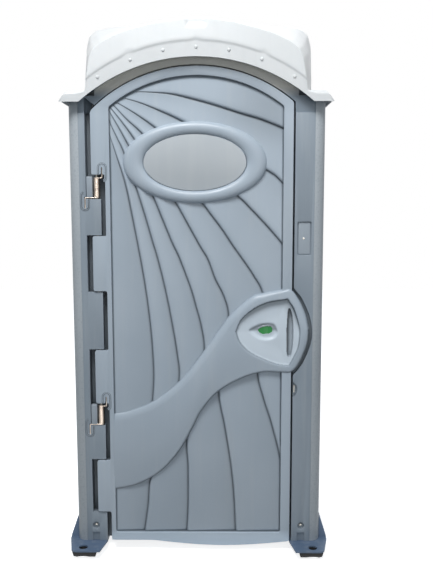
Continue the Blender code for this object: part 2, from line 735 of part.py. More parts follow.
def header_arch(rise):
    """A line a fixed rise above the roof's lower edge, across the arched part of the header."""
    line = arch_points(-HEADER_DOME_X, HEADER_DOME_X, ROOF_ARCH_Z, ROOF_ARCH_RADIUS, 16)
    return [(x, z + rise) for x, z in line]


def roof_edge_z(x):
    """The roof's lower front edge: a round arch that meets a nearly level eave."""
    return max(arch_z(x, ROOF_ARCH_Z, ROOF_ARCH_RADIUS), ROOF_EAVE_FRONT_Z)


def build_header():
    """Arched door head, set back under the roof's edge, with a stop and a flange up to the roof."""
    face = FACE_Y + HEADER_FRONT
    back = FACE_Y + STOP_BACK
    left, right = DOOR_FINGER_X - HEADER_HINGE_GAP, DOOR_RIGHT_X + HEADER_GAP
    header = header_shape("door_header", left, right, HEADER_GAP, face, back, body_plastic())
    flange_front = FACE_Y + ROOF_FRONT + ROOF_SHEET + HEADER_ROOF_GAP
    flange_outline = header_arch(SHEET) + header_arch(HEADER_UNDER_ROOF)[::-1]
    flange = prism("header_flange_block", flange_outline, "Y", flange_front, face + SHEET)
    stop_gap = HEADER_GAP - HEADER_STOP
    stop = header_shape("header_stop_block", -STOP_X, STOP_X, stop_gap, FACE_Y + STOP_FRONT, back)
    join(header, flange, stop)
    cut(header, rivet_hole_cut("header_rivet_cut"), door_swing_cut())


def door_swing_cut():
    """The space that the door's head turns through, round the hinge line."""
    profile = [(0, JAMB_TOP_Z)]
    for step in range(SWING_STEPS + 1):
        reach = SWING_RADIUS * step / SWING_STEPS
        profile.append((reach, arch_z(HINGE_X + reach, DOOR_TOP_Z, DOOR_ARCH_RADIUS) + SWING_GAP))
    profile.append((SWING_RADIUS, JAMB_TOP_Z))
    ordered = [profile[0]] + profile[:0:-1]
    return turned("door_swing_cut", ordered, (HINGE_X, HINGE_Y, 0), (0, 0, 1), sides=2 * ROUND_SIDES)


def rod_top_z():
    """The rod ends inside the door's top finger."""
    return arch_z(DOOR_FINGER_X, DOOR_TOP_Z, DOOR_ARCH_RADIUS) - ROD_HEAD_COVER


# Roof sections, as shares of the half width and of the height above the eave, from crown to eave
EAVE_FRONT_DROP = 0.045
EAVE_DROP = 0.040
ROOF_EAVE_FRONT_Z = WALL_TOP_Z - EAVE_FRONT_DROP
ROOF_EAVE_Z = WALL_TOP_Z - EAVE_DROP
LEDGE_SHARE = (WALL_TOP_Z + TOUCH + ROOF_SHEET - ROOF_EAVE_Z) / (ROOF_TOP_Z - ROOF_EAVE_Z)
FRONT_FACE_SHARES = (
    (0, 0.882), (0.142, 0.872), (0.283, 0.841), (0.425, 0.792), (0.566, 0.733), (0.690, 0.653),
    (0.761, 0.575), (0.791, 0.472), (0.800, 0.320), (0.806, LEDGE_SHARE),
    (0.885, LEDGE_SHARE), (0.965, LEDGE_SHARE), (1, 0),
)
FRONT_ROUND_SHARES = (
    (0, 0.930), (0.150, 0.925), (0.300, 0.900), (0.450, 0.860), (0.600, 0.800), (0.735, 0.720),
    (0.800, 0.640), (0.835, 0.540), (0.848, 0.370), (0.856, LEDGE_SHARE),
    (0.905, LEDGE_SHARE), (0.967, LEDGE_SHARE), (1, 0),
)
SHOULDER_SHARES = (
    (0, 1.000), (0.177, 0.997), (0.354, 0.992), (0.531, 0.984), (0.708, 0.975), (0.835, 0.952),
    (0.885, 0.888), (0.906, 0.740), (0.910, 0.430), (0.912, LEDGE_SHARE),
    (0.933, LEDGE_SHARE), (0.967, LEDGE_SHARE), (1, 0),
)
ROOF_FACE_DEPTH = 0.012
ROOF_ROUND_DEPTH = 0.110
ROOF_SHOULDER_DEPTH = 0.330
ROOF_REAR_INSET = 0.160
ROOF_TURN_INSET = 0.050
ROOF_FACE_INSET = 0.026
ROOF_FLANGE_SHARE = 0.620
ROOF_CREASE_SHARE = 0.900
ROOF_CREASE_WIDTH_SHARE = 0.985
ROOF_CREASE_DEPTH_SHARE = 0.750
ROOF_REAR_ROUND_SHARES = (0.500, 1.600)
ROOF_REAR_DROP = 0.045
ROOF_REAR_ROUND = 0.030
ROOF_BACK_OVERHANG = 0.030
ROOF_LEDGE_BACK = 0.010


def roof_section(shares, drop=0.0, inset=0.0):
    """Half a roof section from crown to eave, lowered and drawn in where it rounds over."""
    rise = ROOF_TOP_Z - ROOF_EAVE_Z
    points = []
    for across, up in shares:
        on_dome = up > LEDGE_SHARE
        height = ROOF_EAVE_Z + rise * up - (drop * up if on_dome else 0)
        points.append((ROOF_HALF_WIDTH * across - (inset * across if on_dome else 0), height))
    return points


def roof_rows():
    """The roof's outer skin as rows of points from the front lip over the top to the rear eave."""
    face = roof_section(FRONT_FACE_SHARES)
    ledge_z = ROOF_EAVE_Z + (ROOF_TOP_Z - ROOF_EAVE_Z) * LEDGE_SHARE
    lip, flange, crease = [], [], []
    for x, z in face:
        edge = roof_edge_z(x)
        lip.append((x, edge))
        flange.append((x, min(edge + ROOF_FLANGE, edge + (z - edge) * ROOF_FLANGE_SHARE)))
        if z > ledge_z:
            crease.append((x * ROOF_CREASE_WIDTH_SHARE, edge + (z - edge) * ROOF_CREASE_SHARE))
        else:
            crease.append((x, z))
    turn_share, end_share = ROOF_REAR_ROUND_SHARES
    turned_over = roof_section(SHOULDER_SHARES, ROOF_REAR_DROP + ROOF_REAR_ROUND * turn_share)
    end_drop = ROOF_REAR_DROP + ROOF_REAR_ROUND * end_share
    end = roof_section(SHOULDER_SHARES, end_drop, ROOF_REAR_ROUND * turn_share)
    wall_foot = [(x, min(z, ledge_z)) for x, z in end]
    return [
        (FACE_Y + ROOF_FRONT, lip),
        (FACE_Y + ROOF_FRONT, flange),
        (FACE_Y + ROOF_FRONT * ROOF_CREASE_DEPTH_SHARE, crease),
        (FACE_Y + ROOF_FACE_DEPTH, face),
        (FACE_Y + ROOF_ROUND_DEPTH, roof_section(FRONT_ROUND_SHARES)),
        (FACE_Y + ROOF_SHOULDER_DEPTH, roof_section(SHOULDER_SHARES)),
        (BACK_Y - ROOF_REAR_INSET, roof_section(SHOULDER_SHARES, ROOF_REAR_DROP)),
        (BACK_Y - ROOF_TURN_INSET, turned_over),
        (BACK_Y - ROOF_FACE_INSET, end),
        (BACK_Y - ROOF_FACE_INSET + SHEET, wall_foot),
        (BACK_Y - ROOF_FACE_INSET + 2 * SHEET, wall_foot),
        (BACK_Y + ROOF_LEDGE_BACK, wall_foot),
        (BACK_Y + ROOF_BACK_OVERHANG, [(x, ROOF_EAVE_Z) for x, _ in wall_foot]),
    ]


def build_roof():
    """One thin moulded sheet: arched front flange, squared shoulders behind it and a flared eave."""
    shape = bmesh.new()
    grid = []
    for y, half in roof_rows():
        line = mirrored(half[1:])[::-1] + half
        grid.append([shape.verts.new((x, y, z)) for x, z in line])
    for near, far in zip(grid, grid[1:]):
        for i in range(len(near) - 1):
            shape.faces.new((near[i], near[i + 1], far[i + 1], far[i]))
    roof = from_bmesh("roof", shape, roof_plastic())
    if sum(face.normal.z for face in roof.data.polygons) < 0:
        roof.data.flip_normals()
    shell = roof.modifiers.new("sheet", "SOLIDIFY")
    shell.thickness = ROOF_SHEET
    shell.offset = -1
    shell.use_even_offset = True
    cut(roof, rivet_hole_cut("roof_rivet_cut"), vent_hole_cut())


def rivet_places():
    """Rivets along the arch, evenly spaced and a fixed rise above the roof's lower edge."""
    middle = (RIVET_COUNT - 1) / 2
    places = []
    for i in range(RIVET_COUNT):
        x = RIVET_SPAN_X * (i - middle) / middle
        places.append((x, arch_z(x, ROOF_ARCH_Z, ROOF_ARCH_RADIUS) + RIVET_RISE))
    return places


def rivet_hole_cut(name):
    radius = RIVET_SHANK_RADIUS + SHANK_CLEARANCE
    face = FACE_Y + ROOF_FRONT
    depth = RIVET_SHANK_LENGTH + SHANK_CLEARANCE
    rows = [(circle(x, z, radius, 8), "Y", face - OVERRUN, face + depth) for x, z in rivet_places()]
    return prisms(name, rows)


def fastener(name, place, head_radius, head_height, shank_radius, shank_length, finish, sides=8):
    """A domed head with its shank, pointing in from the front, seated on a flat face."""
    profile = [
        (0, head_height),
        (head_radius * HEAD_ROUND_SHARES[0], head_height * HEAD_ROUND_SHARES[1]),
        (head_radius, 0),
        (shank_radius, 0),
        (shank_radius, -shank_length),
        (0, -shank_length),
    ]
    turned(name, profile, place, (0, -1, 0), finish, sides=sides)


def build_fasteners():
    for i, (x, z) in enumerate(rivet_places()):
        place = (x, FACE_Y + ROOF_FRONT - TOUCH, z)
        size = (RIVET_HEAD_RADIUS, RIVET_HEAD_HEIGHT, RIVET_SHANK_RADIUS, RIVET_SHANK_LENGTH)
        fastener("roof_rivet_%d" % (i + 1), place, *size, roof_plastic())
    size = (BOLT_HEAD_RADIUS, BOLT_HEAD_HEIGHT, BOLT_SHANK_RADIUS, BOLT_SHANK_LENGTH)
    for name, side in (("jamb_bolt_left", -1), ("jamb_bolt_right", 1)):
        place = (side * JAMB_BOLT_X, FACE_Y + JAMB_DIMPLE_DEPTH - TOUCH, JAMB_BOLT_Z)
        fastener(name, place, *size, galvanised())
    x, z = cover_screw_place()
    fastener("cover_screw", (x, FACE_Y + COVER_DEPTH - TOUCH, z), *size, galvanised())


# Door face features, as shares of the field's width from its left edge and of its height from its foot
SWOOSH_TOP_SHARES = (
    (-0.004, 0.273), (0.089, 0.279), (0.241, 0.303), (0.392, 0.347), (0.516, 0.403), (0.621, 0.458),
    (0.699, 0.496), (0.818, 0.534), (0.896, 0.543), (1.004, 0.5505), (1.048, 0.5505),
)
LOBE_SHARES = (
    (1.095, 0.529), (1.139, 0.494), (1.158, 0.460), (1.150, 0.430), (1.107, 0.390), (1.060, 0.3685),
)
SWOOSH_FOOT_SHARES = (
    (0.999, 0.366), (0.881, 0.366), (0.760, 0.352), (0.626, 0.323), (0.529, 0.282), (0.473, 0.242),
    (0.389, 0.187), (0.274, 0.140), (0.136, 0.110), (-0.004, 0.0975),
)
BOWL_SHARES = (
    (0.7240, 0.4590), (0.7560, 0.4850), (0.8250, 0.5080), (0.9150, 0.5235), (1.0330, 0.5305),
    (1.0700, 0.5080), (1.0960, 0.4780), (1.1060, 0.4560), (1.0980, 0.4250), (1.0730, 0.4020),
    (1.0440, 0.3815), (0.9700, 0.3850), (0.8900, 0.3960), (0.8050, 0.4130), (0.7480, 0.4350),
)
SWOOSH_PROUD = 0.020
SWOOSH_SHOULDER = 0.012
LOBE_BACK = 0.004
LOBE_CLEARANCE = 0.014
HANDLE_RECESS_DEPTH = 0.018
BOWL_FLOOR = 0.002
BOWL_STEP = 0.014
GRIP_SLOT_INSET = 0.020
GRIP_SLOT_WIDTH = 0.027
GRIP_SLOT_LEFT_X = DOOR_RIGHT_X - GRIP_SLOT_INSET
GRIP_SLOT_RIGHT_X = GRIP_SLOT_LEFT_X + GRIP_SLOT_WIDTH
GRIP_SLOT_LOW_Z = 0.884
GRIP_SLOT_HIGH_Z = 1.090
GRIP_SLOT_BACK = 0.022
CAVITY_INSET = 0.032
CAVITY_RIGHT_X = DOOR_RIGHT_X - CAVITY_INSET
OVAL_OFFSET = 0.007
OVAL_CENTRE_X = (DOOR_FIELD_LEFT_X + DOOR_FIELD_RIGHT_X) / 2 - OVAL_OFFSET
OVAL_DROP = 0.356
OVAL_MARGIN = 0.064
OVAL_CENTRE_Z = DOOR_FIELD_TOP_Z - OVAL_DROP
OVAL_HALF_WIDTH = (DOOR_FIELD_RIGHT_X - DOOR_FIELD_LEFT_X) / 2 - OVAL_MARGIN
OVAL_HALF_HEIGHT = 0.171
OVAL_RING = 0.082
OVAL_RING_HEIGHT = 0.055
OVAL_PROUD = 0.010
OVAL_STEP_SHARE = 0.6
OVAL_PANEL_Y = 0.000
HASP_OFFSET = 0.0035
HASP_X = LATCH_JAMB_X - HASP_OFFSET
HASP_Z = 0.735
HASP_DISH_HALF_WIDTH = 0.023
HASP_DISH_HALF_HEIGHT = 0.034
HASP_DISH_DEPTH = 0.012
HASP_TAB_THICKNESS = 0.0025
HASP_TAB_HEIGHT = 0.030
HASP_TAB_OFFSET = 0.004
HASP_TAB_FRONT = 0.012
HASP_TAB_ROOT = 0.020
HASP_HOLE_RADIUS = 0.0045
HASP_EDGE_INSET = 0.004

# Lock
LOCK_INSET = 0.112
LOCK_X = DOOR_RIGHT_X - LOCK_INSET
LOCK_Z = 0.997
WINDOW_HALF_WIDTH = 0.030
WINDOW_HALF_HEIGHT = 0.021
INDICATOR_RADIUS = 0.040
INDICATOR_THICKNESS = 0.002
SPINDLE_RADIUS = 0.006
SPINDLE_CLEARANCE = 0.0006
HOUSING_HALF_WIDTH = 0.058
HOUSING_HALF_HEIGHT = 0.055
HOUSING_DEPTH = 0.030
HOUSING_WALL = 0.004
BOLT_BAR_HALF_HEIGHT = 0.009
BOLT_BAR_THICKNESS = 0.008
BOLT_BAR_LENGTH = 0.076
BOLT_BAR_LOW_Z = 0.958
BOLT_BAR_CLEARANCE = 0.0006
BOLT_TIP_GAP = 0.003
KNOB_RADIUS = 0.026
KNOB_HEIGHT = 0.016
KNOB_RIM_SHARE = 0.6
KNOB_TOP_SHARE = 0.85
LEVER_SHARE = 0.95
KNOB_LEVER_HALF = 0.007
KNOB_LEVER_HEIGHT = 0.010
STRIKE_HALF_HEIGHT = 0.045
STRIKE_THICKNESS = 0.0015


def field_place(share_x, share_z):
    """A point of the door's face, from shares of its field."""
    x = DOOR_FIELD_LEFT_X + share_x * (DOOR_FIELD_RIGHT_X - DOOR_FIELD_LEFT_X)
    return x, DOOR_FIELD_FOOT_Z + share_z * (DOOR_FIELD_TOP_Z - DOOR_FIELD_FOOT_Z)


def field_line(shares, steps):
    return smooth_line([field_place(a, b) for a, b in shares], steps)


def grown(outline, reach):
    """An outline moved outwards by a distance, or inwards where it is negative."""
    area = sum(a[0] * b[1] - b[0] * a[1] for a, b in zip(outline, outline[1:] + outline[:1]))
    turn = 1 if area > 0 else -1
    moved = []
    for i, point in enumerate(outline):
        here = Vector(point)
        before = (here - Vector(outline[i - 1])).normalized()
        after = (Vector(outline[(i + 1) % len(outline)]) - here).normalized()
        side = Vector(((before + after).y, -(before + after).x)).normalized() * turn
        share = max(side.dot(Vector((after.y, -after.x)) * turn), 0.5)
        moved.append(tuple(here + side * reach / share))
    return moved


def swoosh_outline():
    line = field_line(SWOOSH_TOP_SHARES, 2)
    line += field_line(LOBE_SHARES, 2)
    return line + field_line(SWOOSH_FOOT_SHARES, 2)


def lobe_outline():
    """The handle's round end, with a straight side inside the door."""
    right = [field_place(*SWOOSH_TOP_SHARES[-2])] + [field_place(*SWOOSH_TOP_SHARES[-1])]
    right += field_line(LOBE_SHARES, 2)
    return right + [field_place(*SWOOSH_FOOT_SHARES[0])]


def handle_clearance_cut():
    outline = grown(lobe_outline(), LOBE_CLEARANCE)
    return prism("handle_clearance_cut", outline, "Y", FACE_Y - OVERRUN, FACE_Y + HANDLE_RECESS_DEPTH)


def hasp_dish_cut(name):
    outline = ellipse(HASP_X, HASP_Z, HASP_DISH_HALF_WIDTH, HASP_DISH_HALF_HEIGHT, 16)
    return prism(name, outline, "Y", FACE_Y - OVERRUN - DOOR_RIM_PROUD, FACE_Y + HASP_DISH_DEPTH)


def hasp_tab_box(side):
    """Where each hasp plate stands: its X range, its Z range and its Y range."""
    door_side = DOOR_RIGHT_X - HASP_EDGE_INSET - HASP_TAB_THICKNESS
    edge = LATCH_JAMB_X + HASP_EDGE_INSET if side > 0 else door_side
    middle = HASP_Z + side * HASP_TAB_OFFSET
    heights = (middle - HASP_TAB_HEIGHT / 2, middle + HASP_TAB_HEIGHT / 2)
    depth = (FACE_Y + HASP_DISH_DEPTH - HASP_TAB_FRONT, FACE_Y + HASP_TAB_ROOT)
    return (edge, edge + HASP_TAB_THICKNESS), heights, depth


def hasp_slot_cut(side):
    """The slot that a hasp plate stands in, open at the front."""
    (left, right), (low, high), (_, root) = hasp_tab_box(side)
    slot = box_outline(left - TOUCH, right + TOUCH, low - TOUCH, high + TOUCH)
    return prism("hasp_slot_cut_%d" % side, slot, "Y", FACE_Y, root + TOUCH)


def build_hasp(name, side, carrier=None):
    (left, right), (low, high), (front, root) = hasp_tab_box(side)
    outline = box_outline(front, root, low, high)
    plate = prism(name, outline, "X", left, right, galvanised(), carrier)
    hole = circle(FACE_Y + HASP_DISH_DEPTH - HASP_TAB_FRONT / 2, HASP_Z, HASP_HOLE_RADIUS, 10)
    cut(plate, prism(name + "_hole_cut", hole, "X", left - OVERRUN, right + OVERRUN))


def door_outline(inset=0.0, fingers=True):
    """The door in elevation, clockwise from the hinge foot, with fingers on its hinge edge."""
    edge = DOOR_EDGE_X + inset
    right = DOOR_RIGHT_X - inset
    points = [(edge, door_foot_z(DOOR_EDGE_X) + inset)]
    left = edge
    if fingers:
        left = DOOR_FINGER_X
        for i in range(DOOR_FINGER_COUNT):
            foot = finger_foot(i)
            points += [(edge, foot), (left, foot)]
            if i + 1 < DOOR_FINGER_COUNT:
                points += [(left, foot + DOOR_FINGER_LENGTH), (edge, foot + DOOR_FINGER_LENGTH)]
    points += arch_points(left, right, DOOR_TOP_Z - inset, DOOR_ARCH_RADIUS, 16)
    foot_places = [right - (right - edge) * i / 12 for i in range(12)]
    points += [(x, door_foot_z(x) + inset) for x in foot_places]
    return points


def door_field_outline(inset=0.0):
    """The recessed field of the door's face, arched like the door."""
    left, right = DOOR_FIELD_LEFT_X + inset, DOOR_FIELD_RIGHT_X - inset
    low, top = DOOR_FIELD_FOOT_Z + inset, DOOR_FIELD_TOP_Z - inset
    arch = arch_points(right, left, top, DOOR_ARCH_RADIUS - DOOR_RIM_WIDTH, 14)
    return [(left, low), (right, low)] + arch


def build_door_outer(carrier):
    """Outer door moulding: rim, recessed field, oval sign bezel, raised sweep and the pull handle."""
    front, back = FACE_Y - DOOR_RIM_PROUD, FACE_Y + DOOR_TRAY_BACK
    field_y = FACE_Y + DOOR_FIELD_Y
    skin_back = field_y + DOOR_SKIN
    door = prism("door_outer_panel", door_outline(), "Y", front, back, door_plastic(), carrier)
    cut(door, prism("door_field_cut", door_field_outline(), "Y", front - OVERRUN, field_y))
    cavity_left = DOOR_FIELD_LEFT_X + DOOR_SKIN
    cavity = door_outline(DOOR_SKIN + TOUCH, False)
    cavity = [(max(x, cavity_left), z) for x, z in cavity]
    cut(door, prism("door_cavity_cut", cavity, "Y", skin_back, back + OVERRUN))
    sweep_front = FACE_Y - SWOOSH_PROUD
    sweep, sweep_back = swoosh_outline(), field_y + SHEET / 2
    sweep_step = prism("sweep_step_block", sweep, "Y", sweep_front + SWOOSH_SHOULDER, sweep_back)
    sweep_top = prism("sweep_top_block", grown(sweep, -SWOOSH_SHOULDER), "Y", sweep_front, sweep_back)
    lobe = prism("lobe_block", lobe_outline(), "Y", sweep_front + SWOOSH_SHOULDER / 2, FACE_Y + LOBE_BACK)
    join(door, sweep_step, sweep_top, lobe)
    handle_low, handle_high = GRIP_SLOT_LOW_Z - 2 * DOOR_SKIN, GRIP_SLOT_HIGH_Z + 2 * DOOR_SKIN
    handle_box = box_outline(CAVITY_RIGHT_X, DOOR_RIGHT_X - TOUCH, handle_low, handle_high)
    join(door, prism("handle_liner_block", handle_box, "Y", field_y, back - TOUCH))
    sweep_room = [place for place in swoosh_outline() if place[0] < CAVITY_RIGHT_X]
    sweep_inside = grown(sweep_room, -2 * SWOOSH_SHOULDER)
    cut(door, prism("sweep_inside_cut", sweep_inside, "Y", sweep_front + DOOR_SKIN, skin_back + SHEET))
    add_bowl(door, sweep_front)
    add_oval(door, field_y, skin_back)
    bore = circle(HINGE_X, HINGE_Y, ROD_RADIUS + ROD_CLEARANCE)
    cut(door, prism("door_bore_cut", bore, "Z", 0, rod_top_z() + TOUCH))
    cut(door, spring_channel_cut("door_channel_cut", 1), hasp_dish_cut("hasp_door_cut"), hasp_slot_cut(-1))


def add_bowl(door, sweep_front):
    """The handle's bowl with its lock window and the slot that fingers reach through."""
    bowl = field_line(BOWL_SHARES + BOWL_SHARES[:1], 2)[:-1]
    floor = FACE_Y + BOWL_FLOOR
    liner_outline = [place for place in grown(bowl, SHEET) if place[0] < CAVITY_RIGHT_X]
    liner = prism("bowl_liner_block", liner_outline, "Y", sweep_front + DOOR_SKIN, floor + DOOR_SKIN)
    join(door, liner)
    cut(door, prism("bowl_cut", bowl, "Y", sweep_front - OVERRUN, sweep_front + BOWL_STEP))
    cut(door, prism("bowl_deep_cut", grown(bowl, -BOWL_STEP), "Y", sweep_front, floor))
    slot = rounded_box(GRIP_SLOT_LEFT_X, GRIP_SLOT_RIGHT_X, GRIP_SLOT_LOW_Z, GRIP_SLOT_HIGH_Z, OVERRUN)
    cut(door, prism("grip_slot_cut", slot, "Y", sweep_front - OVERRUN, FACE_Y + GRIP_SLOT_BACK))
    across = (LOCK_X - WINDOW_HALF_WIDTH, LOCK_X + WINDOW_HALF_WIDTH)
    window = rounded_box(*across, LOCK_Z - WINDOW_HALF_HEIGHT, LOCK_Z + WINDOW_HALF_HEIGHT, SHEET)
    cut(door, prism("lock_window_cut", window, "Y", floor - OVERRUN, floor + 2 * OVERRUN))


def add_oval(door, field_y, skin_back):
    """A raised oval ring round a bare panel for a sign."""
    place = (OVAL_CENTRE_X, OVAL_CENTRE_Z)
    outer = ellipse(*place, OVAL_HALF_WIDTH, OVAL_HALF_HEIGHT, 40)
    crest = ellipse(*place, OVAL_HALF_WIDTH - OVAL_RING / 3, OVAL_HALF_HEIGHT - OVAL_RING_HEIGHT / 3, 40)
    inner = ellipse(*place, OVAL_HALF_WIDTH - OVAL_RING, OVAL_HALF_HEIGHT - OVAL_RING_HEIGHT, 40)
    proud = FACE_Y - OVAL_PROUD
    step = proud + OVAL_PROUD * OVAL_STEP_SHARE
    join(door, prism("oval_step_block", outer, "Y", step, field_y + SHEET / 2))
    join(door, prism("oval_crest_block", crest, "Y", proud, field_y + SHEET / 2))
    cut(door, prism("oval_panel_cut", inner, "Y", proud - OVERRUN, FACE_Y + OVAL_PANEL_Y))


# Inner door moulding
INNER_PAN_DEPTH = 0.009
INNER_RIM = 0.045


def build_door_inner(carrier):
    """Inner door moulding, a shallow pan that closes the back of the outer one."""
    front = FACE_Y + DOOR_TRAY_BACK + TOUCH
    back = FACE_Y + DOOR_BACK
    plain = door_outline(0.0, False)
    inner = prism("door_inner_panel", plain, "Y", front, back, interior_plastic(), carrier)
    pan = door_outline(INNER_RIM, False)
    cut(inner, prism("inner_pan_cut", pan, "Y", back - INNER_PAN_DEPTH, back + OVERRUN))
    pad_side = (LOCK_X - HOUSING_HALF_WIDTH, DOOR_RIGHT_X - INNER_RIM + OVERRUN)
    pad = box_outline(*pad_side, LOCK_Z - HOUSING_HALF_HEIGHT, LOCK_Z + HOUSING_HALF_HEIGHT)
    join(inner, prism("lock_pad_block", pad, "Y", back - INNER_PAN_DEPTH - SHEET / 2, back))
    hole = circle(LOCK_X, LOCK_Z, SPINDLE_RADIUS + SPINDLE_CLEARANCE)
    cut(inner, prism("inner_spindle_cut", hole, "Y", front - OVERRUN, back + OVERRUN))


def bolt_bar_left():
    return STOP_X - BOLT_TIP_GAP - BOLT_BAR_LENGTH


def build_lock(carrier, lock_pivot, bolt_pivot):
    """Inside lock: housing, turn knob on its spindle with the indicator disc, and the sliding bolt."""
    face = FACE_Y + DOOR_BACK + TOUCH
    housing_back = face + HOUSING_DEPTH
    left, right = LOCK_X - HOUSING_HALF_WIDTH, LOCK_X + HOUSING_HALF_WIDTH
    low, high = LOCK_Z - HOUSING_HALF_HEIGHT, LOCK_Z + HOUSING_HALF_HEIGHT
    case = rounded_box(left, right, low, high, SHEET)
    housing = prism("lock_housing", case, "Y", face, housing_back, runner_plastic(), carrier)
    room = box_outline(left + HOUSING_WALL, right - HOUSING_WALL, low + HOUSING_WALL, high - HOUSING_WALL)
    cut(housing, prism("housing_room_cut", room, "Y", face - OVERRUN, housing_back - HOUSING_WALL))
    spindle_hole = circle(LOCK_X, LOCK_Z, SPINDLE_RADIUS + SPINDLE_CLEARANCE)
    cut(housing, prism("housing_spindle_cut", spindle_hole, "Y", face, housing_back + OVERRUN))
    bar_front = FACE_Y + STOP_BACK + STRIKE_THICKNESS + 3 * BOLT_BAR_CLEARANCE
    bar_back = bar_front + BOLT_BAR_THICKNESS
    bar_low, bar_high = BOLT_BAR_LOW_Z - BOLT_BAR_HALF_HEIGHT, BOLT_BAR_LOW_Z + BOLT_BAR_HALF_HEIGHT
    loose = BOLT_BAR_CLEARANCE
    mouth = [(bar_front - loose, bar_low - loose), (bar_back + loose, bar_low - loose)]
    mouth += [(bar_back + loose, bar_high + loose), (bar_front - loose, bar_high + loose)]
    cut(housing, prism("housing_mouth_cut", mouth, "X", LOCK_X, right + OVERRUN))
    tip = STOP_X - BOLT_TIP_GAP
    bar = [(bar_front, bar_low), (bar_back, bar_low), (bar_back, bar_high), (bar_front, bar_high)]
    prism("lock_bolt", bar, "X", bolt_bar_left(), tip, galvanised(), bolt_pivot)
    disc_front = FACE_Y + BOWL_FLOOR + DOOR_SKIN + TOUCH
    disc_back = disc_front + INDICATOR_THICKNESS
    knob_face = housing_back + BOLT_BAR_CLEARANCE
    spindle = [(0, -disc_back - TOUCH), (SPINDLE_RADIUS, -disc_back - TOUCH)]
    spindle += [(SPINDLE_RADIUS, -knob_face), (KNOB_RADIUS, -knob_face)]
    spindle += [(KNOB_RADIUS, -knob_face - KNOB_HEIGHT * KNOB_RIM_SHARE)]
    spindle += [(KNOB_RADIUS * KNOB_TOP_SHARE, -knob_face - KNOB_HEIGHT)]
    spindle += [(0, -knob_face - KNOB_HEIGHT)]
    knob = turned("lock_knob", spindle, (LOCK_X, 0, LOCK_Z), (0, -1, 0), runner_plastic(), lock_pivot, 16)
    reach = KNOB_RADIUS * LEVER_SHARE
    lever = box_outline(LOCK_X - reach, LOCK_X + reach, LOCK_Z - KNOB_LEVER_HALF, LOCK_Z + KNOB_LEVER_HALF)
    lever_low = knob_face + KNOB_HEIGHT / 2
    lever_high = knob_face + KNOB_HEIGHT + KNOB_LEVER_HEIGHT
    join(knob, prism("knob_lever_block", lever, "Y", lever_low, lever_high))
    disc = circle(LOCK_X, LOCK_Z, INDICATOR_RADIUS, 24)
    green = material("green indicator plastic", "#1A9040", 0.4)
    prism("indicator_disc", disc, "Y", disc_front, disc_back, green, lock_pivot)


def build_strike():
    """Metal wear plate on the back of the jamb's stop, where the bolt runs."""
    left, right = STOP_X + SHEET / 2, LATCH_JAMB_X
    front = FACE_Y + STOP_BACK + TOUCH
    low, high = BOLT_BAR_LOW_Z - STRIKE_HALF_HEIGHT, BOLT_BAR_LOW_Z + STRIKE_HALF_HEIGHT
    plate = box_outline(left, right - TOUCH, low, high)
    prism("strike_plate", plate, "Y", front, front + STRIKE_THICKNESS, galvanised())


def build_hinge_rod():
    profile = [(0, ROD_FOOT_Z), (ROD_RADIUS, ROD_FOOT_Z), (ROD_RADIUS, rod_top_z()), (0, rod_top_z())]
    turned("hinge_rod", profile, (HINGE_X, HINGE_Y, 0), (0, 0, 1), galvanised())


def spring_points(window):
    """Route of one closing spring: jamb leg, close coil round the rod, door leg."""
    foot = spring_foot_z(window)
    front_y = HINGE_Y - COIL_RADIUS
    head = foot + COIL_PITCH * COIL_TURNS
    points = [(LEG_JAMB_X, front_y, foot - LEG_RISE + 2 * LEG_CHANNEL_HALF)]
    points += [(LEG_JAMB_X, front_y, foot - 2 * LEG_CHANNEL_HALF)]
    points += [(LEG_JAMB_X + LEG_CHANNEL_HALF / 2, front_y, foot - LEG_CHANNEL_HALF / 2)]
    points += [(LEG_JAMB_X + LEG_CHANNEL_HALF * 2, front_y, foot)]
    coil_points = COIL_TURNS * POINTS_PER_TURN
    for i in range(coil_points + 1):
        turn = -pi / 2 + 2 * pi * i / POINTS_PER_TURN
        climb = foot + COIL_PITCH * i / POINTS_PER_TURN
        points.append((HINGE_X + COIL_RADIUS * cos(turn), HINGE_Y + COIL_RADIUS * sin(turn), climb))
    points += [(LEG_DOOR_X - LEG_CHANNEL_HALF * 2, front_y, head)]
    points += [(LEG_DOOR_X - LEG_CHANNEL_HALF / 2, front_y, head + LEG_CHANNEL_HALF / 2)]
    points += [(LEG_DOOR_X, front_y, head + 2 * LEG_CHANNEL_HALF), (LEG_DOOR_X, front_y, head + LEG_RISE)]
    return points


def build_spring(name, window):
    route = spring_points(window)
    curve = bpy.data.curves.new(name, "CURVE")
    curve.dimensions = "3D"
    curve.bevel_depth = WIRE_RADIUS
    curve.bevel_resolution = 1
    curve.use_fill_caps = True
    line = curve.splines.new("POLY")
    line.points.add(len(route) - 1)
    for point, place in zip(line.points, route):
        point.co = (*place, 1.0)
    add_object(name, curve, galvanised())
    gap = least_gap(route)
    print("%s: %d turns, least gap to itself %.2f mm" % (name, COIL_TURNS, gap * 1000))


def least_gap(route):
    """Least distance between wire surfaces more than half a turn apart, measured on points."""
    apart = POINTS_PER_TURN // 2
    least = hypot(COIL_RADIUS, COIL_PITCH)
    for i, a in enumerate(route):
        for b in route[i + apart :]:
            least = min(least, (Vector(a) - Vector(b)).length)
    return least - 2 * WIRE_RADIUS


# Waste tank
TANK_TOP_Z = 0.500
TANK_SIDE_GAP = 0.025
TANK_BACK_GAP = 0.030
TANK_TOE = 0.045
TANK_HALF = BODY_HALF - TANK_SIDE_GAP
TANK_BACK_Y = BACK_Y - TANK_BACK_GAP
TANK_SKIN = 0.006
TANK_EDGE = 0.012
HOLE_HALF_WIDTH = 0.115
HOLE_HALF_LENGTH = 0.145

